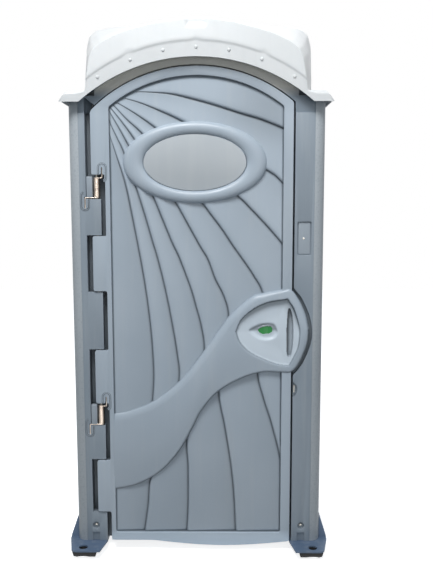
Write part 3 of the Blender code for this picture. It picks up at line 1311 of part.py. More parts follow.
# Seat and lid
SEAT_AXIS_GAP = 0.058
SEAT_AXIS_REACH = 0.227
SEAT_AXIS_Y = TANK_BACK_Y - SEAT_AXIS_GAP
SEAT_CENTRE_Y = SEAT_AXIS_Y - SEAT_AXIS_REACH
SEAT_HALF_WIDTH = 0.190
SEAT_HALF_LENGTH = 0.215
TANK_FRONT_MARGIN = 0.020
TANK_FRONT_Y = SEAT_CENTRE_Y - SEAT_HALF_LENGTH - TANK_FRONT_MARGIN
TANK_TOE_Y = TANK_FRONT_Y + TANK_TOE
SEAT_THICKNESS = 0.020
SEAT_EDGE = 0.006
LID_THICKNESS = 0.012
LID_GAP = 0.0006
LID_OPEN_DEG = 95
LUG_RADIUS = 0.010
LUG_WIDTH = 0.014
LUG_GAP = 0.0006
LUG_ARM_LENGTH = 0.067
LUG_KNEE_LENGTH = 0.032
LUG_ARM_Y = SEAT_AXIS_Y - LUG_ARM_LENGTH
LUG_KNEE_Y = SEAT_AXIS_Y - LUG_KNEE_LENGTH
LUG_ARM_DROP = 0.002
SEAT_PIN_RADIUS = 0.004
SEAT_PIN_CLEARANCE = 0.0004
BRACKET_INNER_X = 0.068
BRACKET_WIDTH = 0.016
BRACKET_DEPTH = 0.044
BRACKET_HEIGHT = 0.032

# Vent stack
VENT_SIDE_GAP = 0.160
VENT_BACK_GAP = 0.150
VENT_X = BODY_HALF - VENT_SIDE_GAP
VENT_Y = BACK_Y - VENT_BACK_GAP
VENT_RADIUS = 0.055
VENT_WALL = 0.003
VENT_ROOF_CLEARANCE = 0.0006
VENT_FOOT_HOLE = 0.045
CAP_DROP = 0.002
CAP_LIFT = 0.031
CAP_TOP_Z = ROOF_TOP_Z - CAP_DROP
VENT_TOP_Z = CAP_TOP_Z - CAP_LIFT
CAP_RADIUS = 0.076
CAP_CROWN = 0.013
CAP_CROWN_SHARE = 0.6
CAP_SPIGOT = 0.032
CAP_WINDOW_HEIGHT = 0.012
CAP_WINDOW_WIDTH = 0.056
CAP_SKIN = 0.004

# Urinal
URINAL_BACK_GAP = 0.280
URINAL_Y = TANK_BACK_Y - URINAL_BACK_GAP
URINAL_HALF_WIDTH = 0.125
URINAL_REACH = 0.165
URINAL_TOP_Z = 0.800
URINAL_FOOT_Z = 0.630
URINAL_FOOT_SHARE = 0.620
URINAL_SKIN = 0.006
URINAL_SPLASH_Z = 0.900
URINAL_DRAIN_INSET = 0.070
URINAL_DRAIN_X = URINAL_DRAIN_INSET - BODY_HALF
URINAL_DRAIN_RADIUS = 0.018
URINAL_DRAIN_WALL = 0.004

# Paper holder
ROLL_BACK_GAP = 0.320
ROLL_Y = TANK_BACK_Y - ROLL_BACK_GAP
ROLL_Z = 0.740
ROLL_RADIUS = 0.055
ROLL_WIDTH = 0.100
ROLL_BORE = 0.0187
ROLL_BAR = 0.0178
ROLL_STAND_OFF = 0.062
HOLDER_PLATE = 0.005
HOLDER_ARM = 0.006
HOLDER_SIDE_GAP = 0.003
HOLDER_HALF_HEIGHT = 0.040


def moved_grid(outline, share, anchor):
    """An outline drawn in towards an anchor point by a share."""
    return [(anchor[0] + (a - anchor[0]) * share, anchor[1] + (b - anchor[1]) * share) for a, b in outline]


def loft(name, low_outline, low_z, high_outline, high_z, finish=None):
    """A closed form between a lower and an upper outline with as many points."""
    shape = bmesh.new()
    low = [shape.verts.new((a, b, low_z)) for a, b in low_outline]
    high = [shape.verts.new((a, b, high_z)) for a, b in high_outline]
    shape.faces.new(low)
    shape.faces.new(high)
    for i in range(len(low)):
        k = (i + 1) % len(low)
        shape.faces.new((low[i], low[k], high[k], high[i]))
    return from_bmesh(name, shape, finish)


def build_tank():
    """Moulded waste tank whose top is the seat deck, with the drop hole and the vent's foot hole."""
    foot = FLOOR_Z + TOUCH
    side = [(TANK_TOE_Y, foot), (TANK_BACK_Y, foot), (TANK_BACK_Y, TANK_TOP_Z)]
    side += [(TANK_FRONT_Y + TANK_EDGE, TANK_TOP_Z), (TANK_FRONT_Y, TANK_TOP_Z - TANK_EDGE)]
    tank = prism("waste_tank", side, "X", -TANK_HALF, TANK_HALF, interior_plastic())
    room = grown(side, -TANK_SKIN)
    cut(tank, prism("tank_room_cut", room, "X", -TANK_HALF + TANK_SKIN, TANK_HALF - TANK_SKIN))
    hole = ellipse(0, SEAT_CENTRE_Y, HOLE_HALF_WIDTH, HOLE_HALF_LENGTH, 28)
    through = ("Z", TANK_TOP_Z - 2 * TANK_SKIN, TANK_TOP_Z + OVERRUN)
    holes = [(hole, *through), (circle(VENT_X, VENT_Y, VENT_FOOT_HOLE, 16), *through)]
    drain = circle(URINAL_DRAIN_X, URINAL_Y, URINAL_DRAIN_RADIUS - URINAL_DRAIN_WALL, 10)
    holes.append((drain, *through))
    cut(tank, prisms("tank_hole_cut", holes))


def seat_axis():
    return Vector((0, SEAT_AXIS_Y, TANK_TOP_Z + SEAT_THICKNESS))


def lug_rows(first_x, arm_low, arm_high):
    """Two hinge lugs, one each side: an arm with a round end on the pin."""
    axis = seat_axis()
    rows = []
    for side in (-1, 1):
        left, right = sorted((side * first_x, side * (first_x + LUG_WIDTH)))
        end = arc(axis.y, axis.z, LUG_RADIUS, -120, 120, 8)
        outline = [(LUG_ARM_Y, arm_high), (LUG_ARM_Y, arm_low), (LUG_KNEE_Y, arm_low)] + end
        outline += [(LUG_KNEE_Y, arm_high)]
        rows.append((outline, "X", left, right))
    return rows


def turn_meshes(objects, degrees):
    """Turn pieces and their tools about the seat's hinge line."""
    axis = seat_axis()
    turn = Matrix.Translation(axis) @ Matrix.Rotation(radians(degrees), 4, "X") @ Matrix.Translation(-axis)
    for item in objects:
        item.data.transform(turn)


def build_seat(seat_pivot, lid_pivot):
    """Seat ring, lid, the two brackets and the pin that they all turn on."""
    axis = seat_axis()
    place = (0, SEAT_CENTRE_Y)
    low = TANK_TOP_Z + TOUCH
    high = TANK_TOP_Z + SEAT_THICKNESS
    outer = ellipse(*place, SEAT_HALF_WIDTH, SEAT_HALF_LENGTH, 36)
    seat = prism("seat_ring", outer, "Z", low, high, runner_plastic(), seat_pivot)
    first = BRACKET_INNER_X + BRACKET_WIDTH + LUG_GAP
    second = first + LUG_WIDTH + LUG_GAP
    for i, row in enumerate(lug_rows(first, low + LUG_ARM_DROP, high - LUG_ARM_DROP)):
        join(seat, prisms("seat_lug_block_%d" % i, [row]))
    hole = ellipse(*place, HOLE_HALF_WIDTH, HOLE_HALF_LENGTH, 28)
    cut(seat, prism("seat_hole_cut", hole, "Z", 0, axis.z + OVERRUN))
    reach = second + LUG_WIDTH + LUG_GAP * 4
    pin_bore = circle(axis.y, axis.z, SEAT_PIN_RADIUS + SEAT_PIN_CLEARANCE, 10)
    cut(seat, prism("seat_pin_cut", pin_bore, "X", -reach, reach))
    lid_low = high + LID_GAP
    lid = prism("seat_lid", outer, "Z", lid_low, lid_low + LID_THICKNESS, runner_plastic(), lid_pivot)
    tools = []
    for i, row in enumerate(lug_rows(second, lid_low, lid_low + LID_THICKNESS - LUG_ARM_DROP)):
        tools.append(prisms("lid_lug_block_%d" % i, [row]))
    join(lid, *tools)
    lid_bore = prism("lid_pin_cut", pin_bore, "X", -reach, reach)
    cut(lid, lid_bore)
    turn_meshes([lid, lid_bore] + tools, -LID_OPEN_DEG)
    for name, side in (("seat_bracket_left", -1), ("seat_bracket_right", 1)):
        left, right = sorted((side * BRACKET_INNER_X, side * (BRACKET_INNER_X + BRACKET_WIDTH)))
        near, far = axis.y - BRACKET_DEPTH / 2, axis.y + BRACKET_DEPTH / 2
        shape = rounded_box(near, far, low, TANK_TOP_Z + BRACKET_HEIGHT, SEAT_EDGE)
        bracket = prism(name, shape, "X", left, right, runner_plastic())
        cut(bracket, prism(name + "_pin_cut", pin_bore, "X", -reach, reach))
    prism("seat_pin", circle(axis.y, axis.z, SEAT_PIN_RADIUS, 10), "X", -reach, reach, galvanised())


def vent_hole_cut():
    outline = circle(VENT_X, VENT_Y, VENT_RADIUS + VENT_ROOF_CLEARANCE, 20)
    return prism("vent_hole_cut", outline, "Z", WALL_TOP_Z, CAP_TOP_Z + OVERRUN)


def build_vent():
    """Vent stack from the tank up through the roof, with a low cap on a slotted spigot."""
    foot = TANK_TOP_Z + TOUCH
    outer, inner = VENT_RADIUS, VENT_RADIUS - VENT_WALL
    profile = [(inner, foot), (outer, foot), (outer, VENT_TOP_Z), (inner, VENT_TOP_Z)]
    turned("vent_pipe", profile, (VENT_X, VENT_Y, 0), (0, 0, 1), runner_plastic(), sides=20)
    under = CAP_TOP_Z - CAP_CROWN
    fit = inner - VENT_ROOF_CLEARANCE
    low = under - CAP_SPIGOT - CAP_SKIN
    cap_profile = [
        (0, CAP_TOP_Z),
        (CAP_RADIUS * CAP_CROWN_SHARE, CAP_TOP_Z - CAP_SKIN / 2),
        (CAP_RADIUS, under),
        (CAP_RADIUS - CAP_SKIN / 2, under - CAP_SKIN),
        (fit, under - CAP_SKIN / 2),
        (fit, low),
        (fit - CAP_SKIN, low),
        (fit - CAP_SKIN, under),
        (0, under + CAP_SKIN / 2),
    ]
    cap = turned("vent_cap", cap_profile, (VENT_X, VENT_Y, 0), (0, 0, 1), runner_plastic(), sides=20)
    half = CAP_WINDOW_WIDTH / 2
    head = under - CAP_SKIN
    bars = [
        (box_outline(VENT_X - CAP_RADIUS, VENT_X + CAP_RADIUS, VENT_Y - half, VENT_Y + half), "x"),
        (box_outline(VENT_X - half, VENT_X + half, VENT_Y - CAP_RADIUS, VENT_Y + CAP_RADIUS), "y"),
    ]
    for outline, way in bars:
        cut(cap, prism("cap_window_cut_" + way, outline, "Z", head - CAP_WINDOW_HEIGHT, head))


def build_urinal():
    """Wall urinal: a tapered bowl with a splash back, drained straight down into the tank."""
    wall_x = -(WALL_INNER_X - WALL_CHANNEL_DEPTH - TOUCH)
    turns = [pi * i / 14 - pi / 2 for i in range(15)]
    rim = [(wall_x + URINAL_REACH * cos(t), URINAL_Y + URINAL_HALF_WIDTH * sin(t)) for t in turns]
    anchor = (wall_x, URINAL_Y)
    foot = moved_grid(rim, URINAL_FOOT_SHARE, anchor)
    urinal = loft("urinal", foot, URINAL_FOOT_Z, rim, URINAL_TOP_Z, interior_plastic())
    near, far = URINAL_Y - URINAL_HALF_WIDTH, URINAL_Y + URINAL_HALF_WIDTH
    splash = rounded_box(near, far, URINAL_FOOT_Z + URINAL_SKIN, URINAL_SPLASH_Z, 4 * URINAL_SKIN)
    join(urinal, prism("splash_block", splash, "X", wall_x, wall_x + URINAL_SKIN))
    room_foot = grown(foot, -URINAL_SKIN)
    room_rim = grown(rim, -URINAL_SKIN)
    room = (room_foot, URINAL_FOOT_Z + URINAL_SKIN, room_rim, URINAL_TOP_Z + TOUCH)
    cut(urinal, loft("urinal_room_cut", *room))
    drain = circle(URINAL_DRAIN_X, URINAL_Y, URINAL_DRAIN_RADIUS - URINAL_DRAIN_WALL, 10)
    cut(urinal, prism("urinal_drain_cut", drain, "Z", URINAL_FOOT_Z - OVERRUN, URINAL_FOOT_Z + OVERRUN))
    inner = URINAL_DRAIN_RADIUS - URINAL_DRAIN_WALL
    low, high = TANK_TOP_Z + TOUCH, URINAL_FOOT_Z - TOUCH
    profile = [(inner, low), (URINAL_DRAIN_RADIUS, low), (URINAL_DRAIN_RADIUS, high), (inner, high)]
    turned("urinal_drain", profile, (URINAL_DRAIN_X, URINAL_Y, 0), (0, 0, 1), runner_plastic())


def build_paper(roll_pivot):
    """Wall bracket with a fixed bar, and the paper roll that spins on it."""
    wall_x = WALL_INNER_X - WALL_CHANNEL_DEPTH - TOUCH
    bar_x = paper_bar_x()
    inner = ROLL_WIDTH / 2 + HOLDER_SIDE_GAP
    outer = inner + HOLDER_ARM
    low, high = ROLL_Z - HOLDER_HALF_HEIGHT, ROLL_Z + HOLDER_HALF_HEIGHT
    plate = box_outline(ROLL_Y - outer, ROLL_Y + outer, low, high)
    holder = prism("paper_holder", plate, "X", wall_x - HOLDER_PLATE, wall_x, runner_plastic())
    arm_half = 2 * HOLDER_ARM + ROLL_BAR / 2
    arm = box_outline(bar_x - ROLL_BAR - HOLDER_ARM, wall_x - TOUCH, ROLL_Z - arm_half, ROLL_Z + arm_half)
    for way in (-1, 1):
        near, far = sorted((ROLL_Y + way * inner, ROLL_Y + way * outer))
        join(holder, prism("holder_arm_block_%d" % way, arm, "Y", near, far))
    bar, bar_half = circle(bar_x, ROLL_Z, ROLL_BAR, 16), inner + HOLDER_ARM / 2
    join(holder, prism("holder_bar_block", bar, "Y", ROLL_Y - bar_half, ROLL_Y + bar_half))
    half = ROLL_WIDTH / 2
    profile = [(ROLL_BORE, -half), (ROLL_RADIUS, -half), (ROLL_RADIUS, half), (ROLL_BORE, half)]
    paper = material("tissue paper", "#EFEDE8", 0.9)
    turned("paper_roll", profile, (bar_x, ROLL_Y, ROLL_Z), (0, 1, 0), paper, roll_pivot, 24)


def paper_bar_x():
    return WALL_INNER_X - WALL_CHANNEL_DEPTH - TOUCH - ROLL_STAND_OFF


def build_cabin():
    """Every fixed piece of the cabin's shell."""
    build_skid("skid_left", -1)
    build_skid("skid_right", 1)
    build_base_pan()
    build_side_wall("side_wall_left", -1)
    build_side_wall("side_wall_right", 1)
    build_back_wall()
    build_hinge_jamb()
    build_latch_jamb()
    build_header()
    build_roof()
    build_fasteners()


def build_door():
    """The door with its hinge, springs, hasp and lock."""
    door_pivot = pivot("door_axis", (HINGE_X, HINGE_Y, 0))
    lock_pivot = pivot("lock_axis", (LOCK_X, FACE_Y + DOOR_BACK, LOCK_Z))
    bolt_pivot = pivot("bolt_axis", (bolt_bar_left(), FACE_Y + STOP_BACK, BOLT_BAR_LOW_Z))
    for inner_pivot in (lock_pivot, bolt_pivot):
        inner_pivot.parent = door_pivot
        inner_pivot.matrix_parent_inverse = Matrix.Translation(-door_pivot.location)
    build_door_outer(door_pivot)
    build_door_inner(door_pivot)
    build_hasp("hasp_plate_door", -1, door_pivot)
    build_hasp("hasp_plate_jamb", 1)
    build_lock(door_pivot, lock_pivot, bolt_pivot)
    build_strike()
    build_hinge_rod()
    for window, name in zip(SPRING_WINDOWS, ("hinge_spring_lower", "hinge_spring_upper")):
        build_spring(name, window)


def build_inside():
    """Tank, seat, lid, vent stack, urinal and paper holder."""
    build_tank()
    build_seat(pivot("seat_axis", seat_axis()), pivot("lid_axis", seat_axis()))
    build_vent()
    build_urinal()
    build_paper(pivot("roll_axis", (paper_bar_x(), ROLL_Y, ROLL_Z)))


clear_scene()
build_cabin()
build_door()
build_inside()
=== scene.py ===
"""Looks for a portable toilet cabin of moulded polyethylene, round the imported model."""

from math import cos, pi, radians, sin, sqrt

import bmesh
import bpy
import numpy as np
from mathutils import Matrix, Vector
from numpy.linalg import norm


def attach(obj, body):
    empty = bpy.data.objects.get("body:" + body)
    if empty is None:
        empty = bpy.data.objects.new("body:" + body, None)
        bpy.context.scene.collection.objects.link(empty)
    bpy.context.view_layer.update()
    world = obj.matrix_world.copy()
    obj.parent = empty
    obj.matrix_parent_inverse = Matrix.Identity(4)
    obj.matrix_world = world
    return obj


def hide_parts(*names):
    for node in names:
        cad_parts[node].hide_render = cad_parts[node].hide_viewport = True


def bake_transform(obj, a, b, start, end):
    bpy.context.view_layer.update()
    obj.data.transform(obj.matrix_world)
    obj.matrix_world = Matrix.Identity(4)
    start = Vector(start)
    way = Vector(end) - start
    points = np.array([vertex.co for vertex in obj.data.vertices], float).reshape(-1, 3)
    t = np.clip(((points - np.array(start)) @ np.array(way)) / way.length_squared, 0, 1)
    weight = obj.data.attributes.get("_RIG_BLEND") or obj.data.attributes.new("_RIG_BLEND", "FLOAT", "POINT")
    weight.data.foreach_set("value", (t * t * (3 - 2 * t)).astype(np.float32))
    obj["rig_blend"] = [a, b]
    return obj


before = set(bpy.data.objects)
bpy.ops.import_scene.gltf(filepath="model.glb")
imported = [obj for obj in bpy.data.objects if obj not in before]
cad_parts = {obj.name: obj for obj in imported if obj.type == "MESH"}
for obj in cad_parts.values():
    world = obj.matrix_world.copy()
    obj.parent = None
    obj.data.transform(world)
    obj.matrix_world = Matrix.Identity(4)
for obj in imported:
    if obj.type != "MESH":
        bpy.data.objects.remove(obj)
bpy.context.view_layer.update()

# Places shared by the pieces, in metres
FACE_Y = -0.510
RIM_Y = -0.516
FIELD_Y = -0.506
TRAY_BACK_Y = -0.480
DOOR_RIGHT_X = 0.404
DOOR_EDGE_X = -0.385
DOOR_FINGER_X = -0.443
ARCH_RADIUS = 0.630
ARCH_TOP_Z = 2.103
FIELD_LEFT_X = -0.366
FIELD_RIGHT_X = 0.364
FIELD_FOOT_Z = 0.085
FIELD_TOP_Z = 2.066
FIELD_ARCH_RADIUS = 0.590

# Dust on the plastic, and the tints of the painted shade in its grooves, hollows and gaps
DUST, SHADE_TINT, DARK_SHADE_TINT = "#C9CCCB", "#353E46", "#2B3138"


# ----- materials -----


def linear(hex_colour):
    """An sRGB hex value as a linear colour."""
    parts = [int(hex_colour[i : i + 2], 16) / 255 for i in (1, 3, 5)]
    return [p / 12.92 if p <= 0.04045 else ((p + 0.055) / 1.055) ** 2.4 for p in parts] + [1.0]


def add_node(tree, kind, settings=(), links=()):
    """Add a node, set its properties or sockets, and link sockets into it."""
    node = tree.nodes.new("ShaderNode" + kind)
    for name, value in dict(settings).items():
        if isinstance(name, str) and hasattr(node, name):
            setattr(node, name, value)
        else:
            node.inputs[name].default_value = value
    for name, source in dict(links).items():
        tree.links.new(source, node.inputs[name])
    return node


def start_material(name, roughness, metallic=0.0):
    """A material with its shader, its tree and its object coordinates."""
    made = bpy.data.materials.new(name)
    made.use_nodes = True
    tree = made.node_tree
    tree.nodes.clear()
    shader = add_node(tree, "BsdfPrincipled", {"Roughness": roughness, "Metallic": metallic})
    add_node(tree, "OutputMaterial", links={"Surface": shader.outputs[0]})
    place = add_node(tree, "TexCoord").outputs["Object"]
    return made, tree, shader, place


def ramp(tree, source, stops):
    """A colour ramp from two (position, colour) stops."""
    node = add_node(tree, "ValToRGB", links={"Fac": source})
    for element, (position, colour) in zip(node.color_ramp.elements, stops):
        element.position, element.color = position, linear(colour)
    return node.outputs["Color"]


def noise(tree, place, scale, detail, roughness=0.5):
    """A noise pattern; a scale of 500 gives bumps of about a millimetre."""
    settings = {"Scale": scale, "Detail": detail, "Roughness": roughness}
    return add_node(tree, "TexNoise", settings, {"Vector": place}).outputs["Fac"]


def remapped(tree, source, low, high, to_low, to_high):
    """A value's range laid onto another range, and held inside it."""
    settings = {"From Min": low, "From Max": high, "To Min": to_low, "To Max": to_high}
    return add_node(tree, "MapRange", settings, {"Value": source}).outputs[0]


def tinted(tree, factor, under, tint):
    """The colour below, turned towards a tint by a factor."""
    settings = {"data_type": "RGBA", 7: linear(tint)}
    return add_node(tree, "Mix", settings, {"Factor": factor, "A": under}).outputs[2]


def add_bump(tree, shader, height, strength, distance):
    """Small relief from a pattern's value."""
    bump = add_node(tree, "Bump", {"Strength": strength, "Distance": distance}, {"Height": height})
    tree.links.new(bump.outputs[0], shader.inputs["Normal"])


def polyethylene(
    name, light, dark, roughness, peel_mm=2.4, peel=0.10, speckle=None, haze=0.0, gap=None, bands=()
):
    """Moulded polyethylene: satin, with soft orange peel, tone drift, rub marks and dust in streaks.

    gap is (front y, back y, strength) of the painted shade in deep places, bands are (from z, to z, strength, tint).
    """
    made, tree, shader, place = start_material(name, roughness)
    tone = ramp(tree, noise(tree, place, 1.7, 3.0), [(0.32, dark), (0.68, light)])
    streaks_per_metre = (26, 26, 1.6)
    stretch = add_node(tree, "Mapping", {"Scale": streaks_per_metre}, {"Vector": place})
    streak = noise(tree, stretch.outputs[0], 1.0, 4.0, 0.62)
    colour = tinted(tree, remapped(tree, streak, 0.50, 0.78, 0.0, 0.16), tone, DUST)
    # Painted shade: the places' attribute darkens grooves, edges and hollows where shade falls
    painted_shade = add_node(tree, "Attribute", {"attribute_name": "painted_shade"})
    colour = tinted(tree, painted_shade.outputs["Fac"], colour, SHADE_TINT)
    axes = add_node(tree, "SeparateXYZ", links={0: place})
    for start, end, strength, tint in bands:
        colour = tinted(tree, remapped(tree, axes.outputs["Z"], start, end, 0.0, strength), colour, tint)
    # Painted shade, darker the deeper a place lies in a gap
    if gap:
        front, back, strength = gap
        colour = tinted(tree, remapped(tree, axes.outputs["Y"], front, back, 0.0, strength), colour, DARK_SHADE_TINT)
    if speckle:
        grit = noise(tree, place, 500 / 3.5, 1.0)
        colour = tinted(tree, remapped(tree, grit, 0.56, 0.66, 0.0, 0.35), colour, speckle)
    tree.links.new(colour, shader.inputs["Base Color"])
    rub = remapped(tree, streak, 0.3, 0.7, roughness - 0.06, roughness + 0.08)
    tree.links.new(rub, shader.inputs["Roughness"])
    add_bump(tree, shader, noise(tree, place, 500 / peel_mm, 2.0), peel, 0.0006)
    if haze:
        for setting, value in (("Weight", haze), ("Radius", (0.02, 0.022, 0.024)), ("Scale", 0.6)):
            shader.inputs["Subsurface " + setting].default_value = value
    return made


def zinc_steel(name, light, dark, roughness):
    """Galvanised steel: dull grey metal with faint spangle and darker handling marks."""
    made, tree, shader, place = start_material(name, roughness, 1.0)
    spangle = add_node(tree, "TexVoronoi", {"Scale": 220.0}, {"Vector": place})
    soot = noise(tree, place, 60.0, 3.0)
    both = add_node(
        tree, "Math", {"operation": "MULTIPLY_ADD", 1: 0.35}, {0: spangle.outputs["Distance"], 2: soot}
    )
    tree.links.new(ramp(tree, both.outputs[0], [(0.30, dark), (0.75, light)]), shader.inputs["Base Color"])
    worn = remapped(tree, soot, 0.0, 1.0, roughness - 0.08, roughness + 0.12)
    tree.links.new(worn, shader.inputs["Roughness"])
    return made


def recycled_plastic(name, light, dark, roughness, grit_mm=3.0):
    """Pressed recycled plastic: near black, dull, with coarse grit that holds pale dust."""
    made, tree, shader, place = start_material(name, roughness)
    grit = noise(tree, place, 500 / grit_mm, 4.0, 0.65)
    tree.links.new(ramp(tree, grit, [(0.40, dark), (0.72, light)]), shader.inputs["Base Color"])
    add_bump(tree, shader, grit, 0.5, 0.0008)
    return made


# The door's skin: satin blue grey with soft highlights, and painted shade that darkens it towards the foot
DOOR_PLASTIC = polyethylene(
    "thermoformed grey polyethylene", "#B0BCC7", "#A4B1BD", 0.36, bands=[(0.80, 0.25, 0.13, DARK_SHADE_TINT)]
)
# The posts' skin: duller and a little darker than the door
SHELL_PLASTIC = polyethylene("grained grey polyethylene", "#9BA5AE", "#8E99A3", 0.46)
# The door's rim: painted shade makes it black in its gaps, a painted shadow of the roof darkens it under the roof, and
# a painted highlight pales its foot
RIM_PLASTIC = polyethylene(
    "grey rim polyethylene, painted shade in its gaps", "#B0BCC7", "#A4B1BD", 0.36, gap=(-0.5125, -0.4990, 0.8),
    bands=[(1.90, 2.09, 0.34, DARK_SHADE_TINT), (0.100, 0.040, 0.80, "#DCEEFF")],
)
# The bowl: paler than the door, a painted light because its floor faces up into the lamp, and a little glossier
BOWL_PAINTED_LIGHT_PLASTIC = polyethylene("paler bowl polyethylene, painted light", "#D6E1EA", "#CBD7E1", 0.34)
# The jambs' front: darker than the door, with painted shade that makes it darkest down in the gaps
JAMB_PLASTIC = polyethylene(
    "grey jamb polyethylene, painted shade in its gaps", "#909BA5", "#838F9A", 0.46, gap=(-0.5060, -0.4900, 0.55)
)
# The side and back walls: pale extruded sheet with fine grey specks
WALL_PLASTIC = polyethylene("speckled wall polyethylene", "#AEB5BA", "#A0A8AE", 0.52, speckle="#8B959E")
# The floor pan: a stronger blue grey, matt and coarse from scuffing
BASE_PLASTIC = polyethylene(
    "blue grey base polyethylene", "#5D7089", "#4E6179", 0.54, peel_mm=4.0, peel=0.25
)
# The roof: milky white that lets a little light into its thin edges
ROOF_PLASTIC = polyethylene(
    "translucent white polyethylene", "#DFE2E3", "#D5D9DB", 0.38, peel_mm=5.0, peel=0.08, haze=0.2
)
# The oval panel: a flat, smooth and bare sheet in one even tone
SIGN_PLASTIC = polyethylene("smooth sign sheet", "#B9BFC3", "#B1B8BD", 0.32, peel_mm=9.0, peel=0.05)
# The arch over the door: warm grey, and as grey as the jambs at its ends
HEAD_PLASTIC = polyethylene(
    "warm grey head polyethylene", "#D2D1CA", "#C5C4BD", 0.48, bands=[(2.02, 1.98, 1.0, "#7F8B96")]
)
# The inner linings: pale and plain
INNER_PLASTIC = polyethylene("pale interior polyethylene", "#A9B2B8", "#9AA4AB", 0.45)
# The runners: matt black pressed plastic with lighter crumbs
BLACK_PLASTIC = recycled_plastic("pressed black recycled plastic", "#17181A", "#060607", 0.72)
# The seat and lid: smooth black with a low sheen
SEAT_PLASTIC = recycled_plastic("black moulded polypropylene", "#1B1C1E", "#141517", 0.34, 1.2)
# Rivets, bolts and hasp: dull silver with faint crystals
ZINC = zinc_steel("galvanised steel", "#D6D3CB", "#A09C92", 0.34)
# The springs: warm bright wire that glints on each turn
SPRING_WIRE = zinc_steel("zinc plated spring wire", "#DACDC0", "#9B8F85", 0.30)
# The hinge rod: grey steel, worn dull
ROD_STEEL = zinc_steel("dull steel rod", "#8E8B84", "#5F5C56", 0.42)
# The lock's indicator: the one strong colour on the cabin
BRIGHT_GREEN = polyethylene("green indicator sheet", "#1F9A43", "#177E36", 0.32, peel_mm=6.0, peel=0.05)
# The paper: soft, matt and slightly uneven white
TISSUE = polyethylene("white tissue paper", "#EDEBE6", "#E2DFD8", 0.85, peel_mm=1.5, peel=0.5)


# ----- modelling helpers -----

# Edges that fold more sharply than this are rounded off
FOLD_DEGREES = 28


def make_piece(name, shape, finish, body, stands_for=(), crease=35, recalc=True):
    """A smooth-shaded piece that rides on a body."""
    if recalc:
        bmesh.ops.recalc_face_normals(shape, faces=shape.faces)
    mesh = bpy.data.meshes.new(name)
    shape.to_mesh(mesh)
    shape.free()
    mesh.shade_smooth()
    mesh.set_sharp_from_angle(angle=radians(crease))
    mesh.materials.append(finish)
    piece = bpy.data.objects.new(name, mesh)
    bpy.context.scene.collection.objects.link(piece)
    if body:
        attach(piece, body)
    if stands_for:
        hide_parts(*stands_for)
    return piece


def door_piece(name, shape, finish, crease):
    """A piece of the door's outer moulding."""
    return make_piece(name, shape, finish, "door", ("door_outer_panel",), crease)


def weld(shape, reach=1e-6):
    """Join the vertices that coincide."""
    bmesh.ops.remove_doubles(shape, verts=shape.verts, dist=reach)


def merged_copy(node):
    """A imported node's shape with flat regions joined."""
    shape = bmesh.new()
    shape.from_mesh(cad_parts[node].data)
    weld(shape, 2e-5)
    bmesh.ops.dissolve_limit(shape, angle_limit=radians(1.5), verts=shape.verts, edges=shape.edges)
    return shape


def rounded(shape, edges, width, segments=3, clamp=False):
    """Round edges off with an even arc."""
    bmesh.ops.bevel(
        shape, geom=edges, offset=width, offset_type="OFFSET", affect="EDGES",
        segments=segments, profile=0.5, material=-1, clamp_overlap=clamp,
    )


def softened(name, node, finish, width, body="cabin"):
    """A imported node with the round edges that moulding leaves."""
    shape = merged_copy(node)
    edges = [e for e in shape.edges if len(e.link_faces) == 2 and e.calc_face_angle(0) > radians(FOLD_DEGREES)]
    rounded(shape, edges, width, clamp=True)
    return make_piece(name, shape, finish, body, (node,), crease=40, recalc=False)


def finish_node(node, material):
    """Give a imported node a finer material."""
    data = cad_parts[node].data
    data.materials.clear()
    data.materials.append(material)


# ----- camera, light and floor -----


def aim_camera():
    """The photograph's viewpoint, from the cabin's upright and level edges."""
    pitch, yaw, roll = 0.120978, -0.009558, 0.0010605
    ahead = Vector((sin(yaw) * cos(pitch), cos(yaw) * cos(pitch), -sin(pitch)))
    right = Vector((cos(yaw), -sin(yaw), 0))
    down = ahead.cross(right)
    level, drop = right * cos(roll) + down * sin(roll), down * cos(roll) - right * sin(roll)
    sensor, focal_pixels, tall_pixels = 36.0, 720, 577
    data = bpy.data.cameras.new("camera")
    data.sensor_fit, data.sensor_height, data.lens = "VERTICAL", sensor, sensor * focal_pixels / tall_pixels
    camera = bpy.data.objects.new("camera", data)
    turn = Matrix((level, -drop, -ahead)).transposed().to_4x4()
    camera.matrix_world = Matrix.Translation((0.1114, FACE_Y - 3.0561, 1.5498)) @ turn
    bpy.context.scene.collection.objects.link(camera)
    bpy.context.scene.camera = camera


def add_lamp(name, place, target, size, power):
    """A soft rectangular lamp, in metres and watts."""
    data = bpy.data.lights.new(name, "AREA")
    data.shape, data.size, data.size_y, data.energy = "RECTANGLE", size[0], size[1], power
    lamp = bpy.data.objects.new(name, data)
    aim = (Vector(target) - Vector(place)).to_track_quat("-Z", "Y")
    lamp.matrix_world = Matrix.Translation(place) @ aim.to_matrix().to_4x4()
    bpy.context.scene.collection.objects.link(lamp)


def seen_as_white(tree):
    """1 for the rays that see white: the camera's, and those in gloss and glass."""
    path = add_node(tree, "LightPath")
    seen = path.outputs["Is Camera Ray"]
    for ray in ("Is Glossy Ray", "Is Transmission Ray"):
        links = {0: seen, 1: path.outputs[ray]}
        seen = add_node(tree, "Math", {"operation": "MAXIMUM"}, links).outputs[0]
    return seen


def blended_shader(tree, seen, other_rays, seen_rays):
    """One shader for rays that see white, another for the rest."""
    links = {0: seen, 1: other_rays.outputs[0], 2: seen_rays.outputs[0]}
    return add_node(tree, "MixShader", links=links).outputs[0]


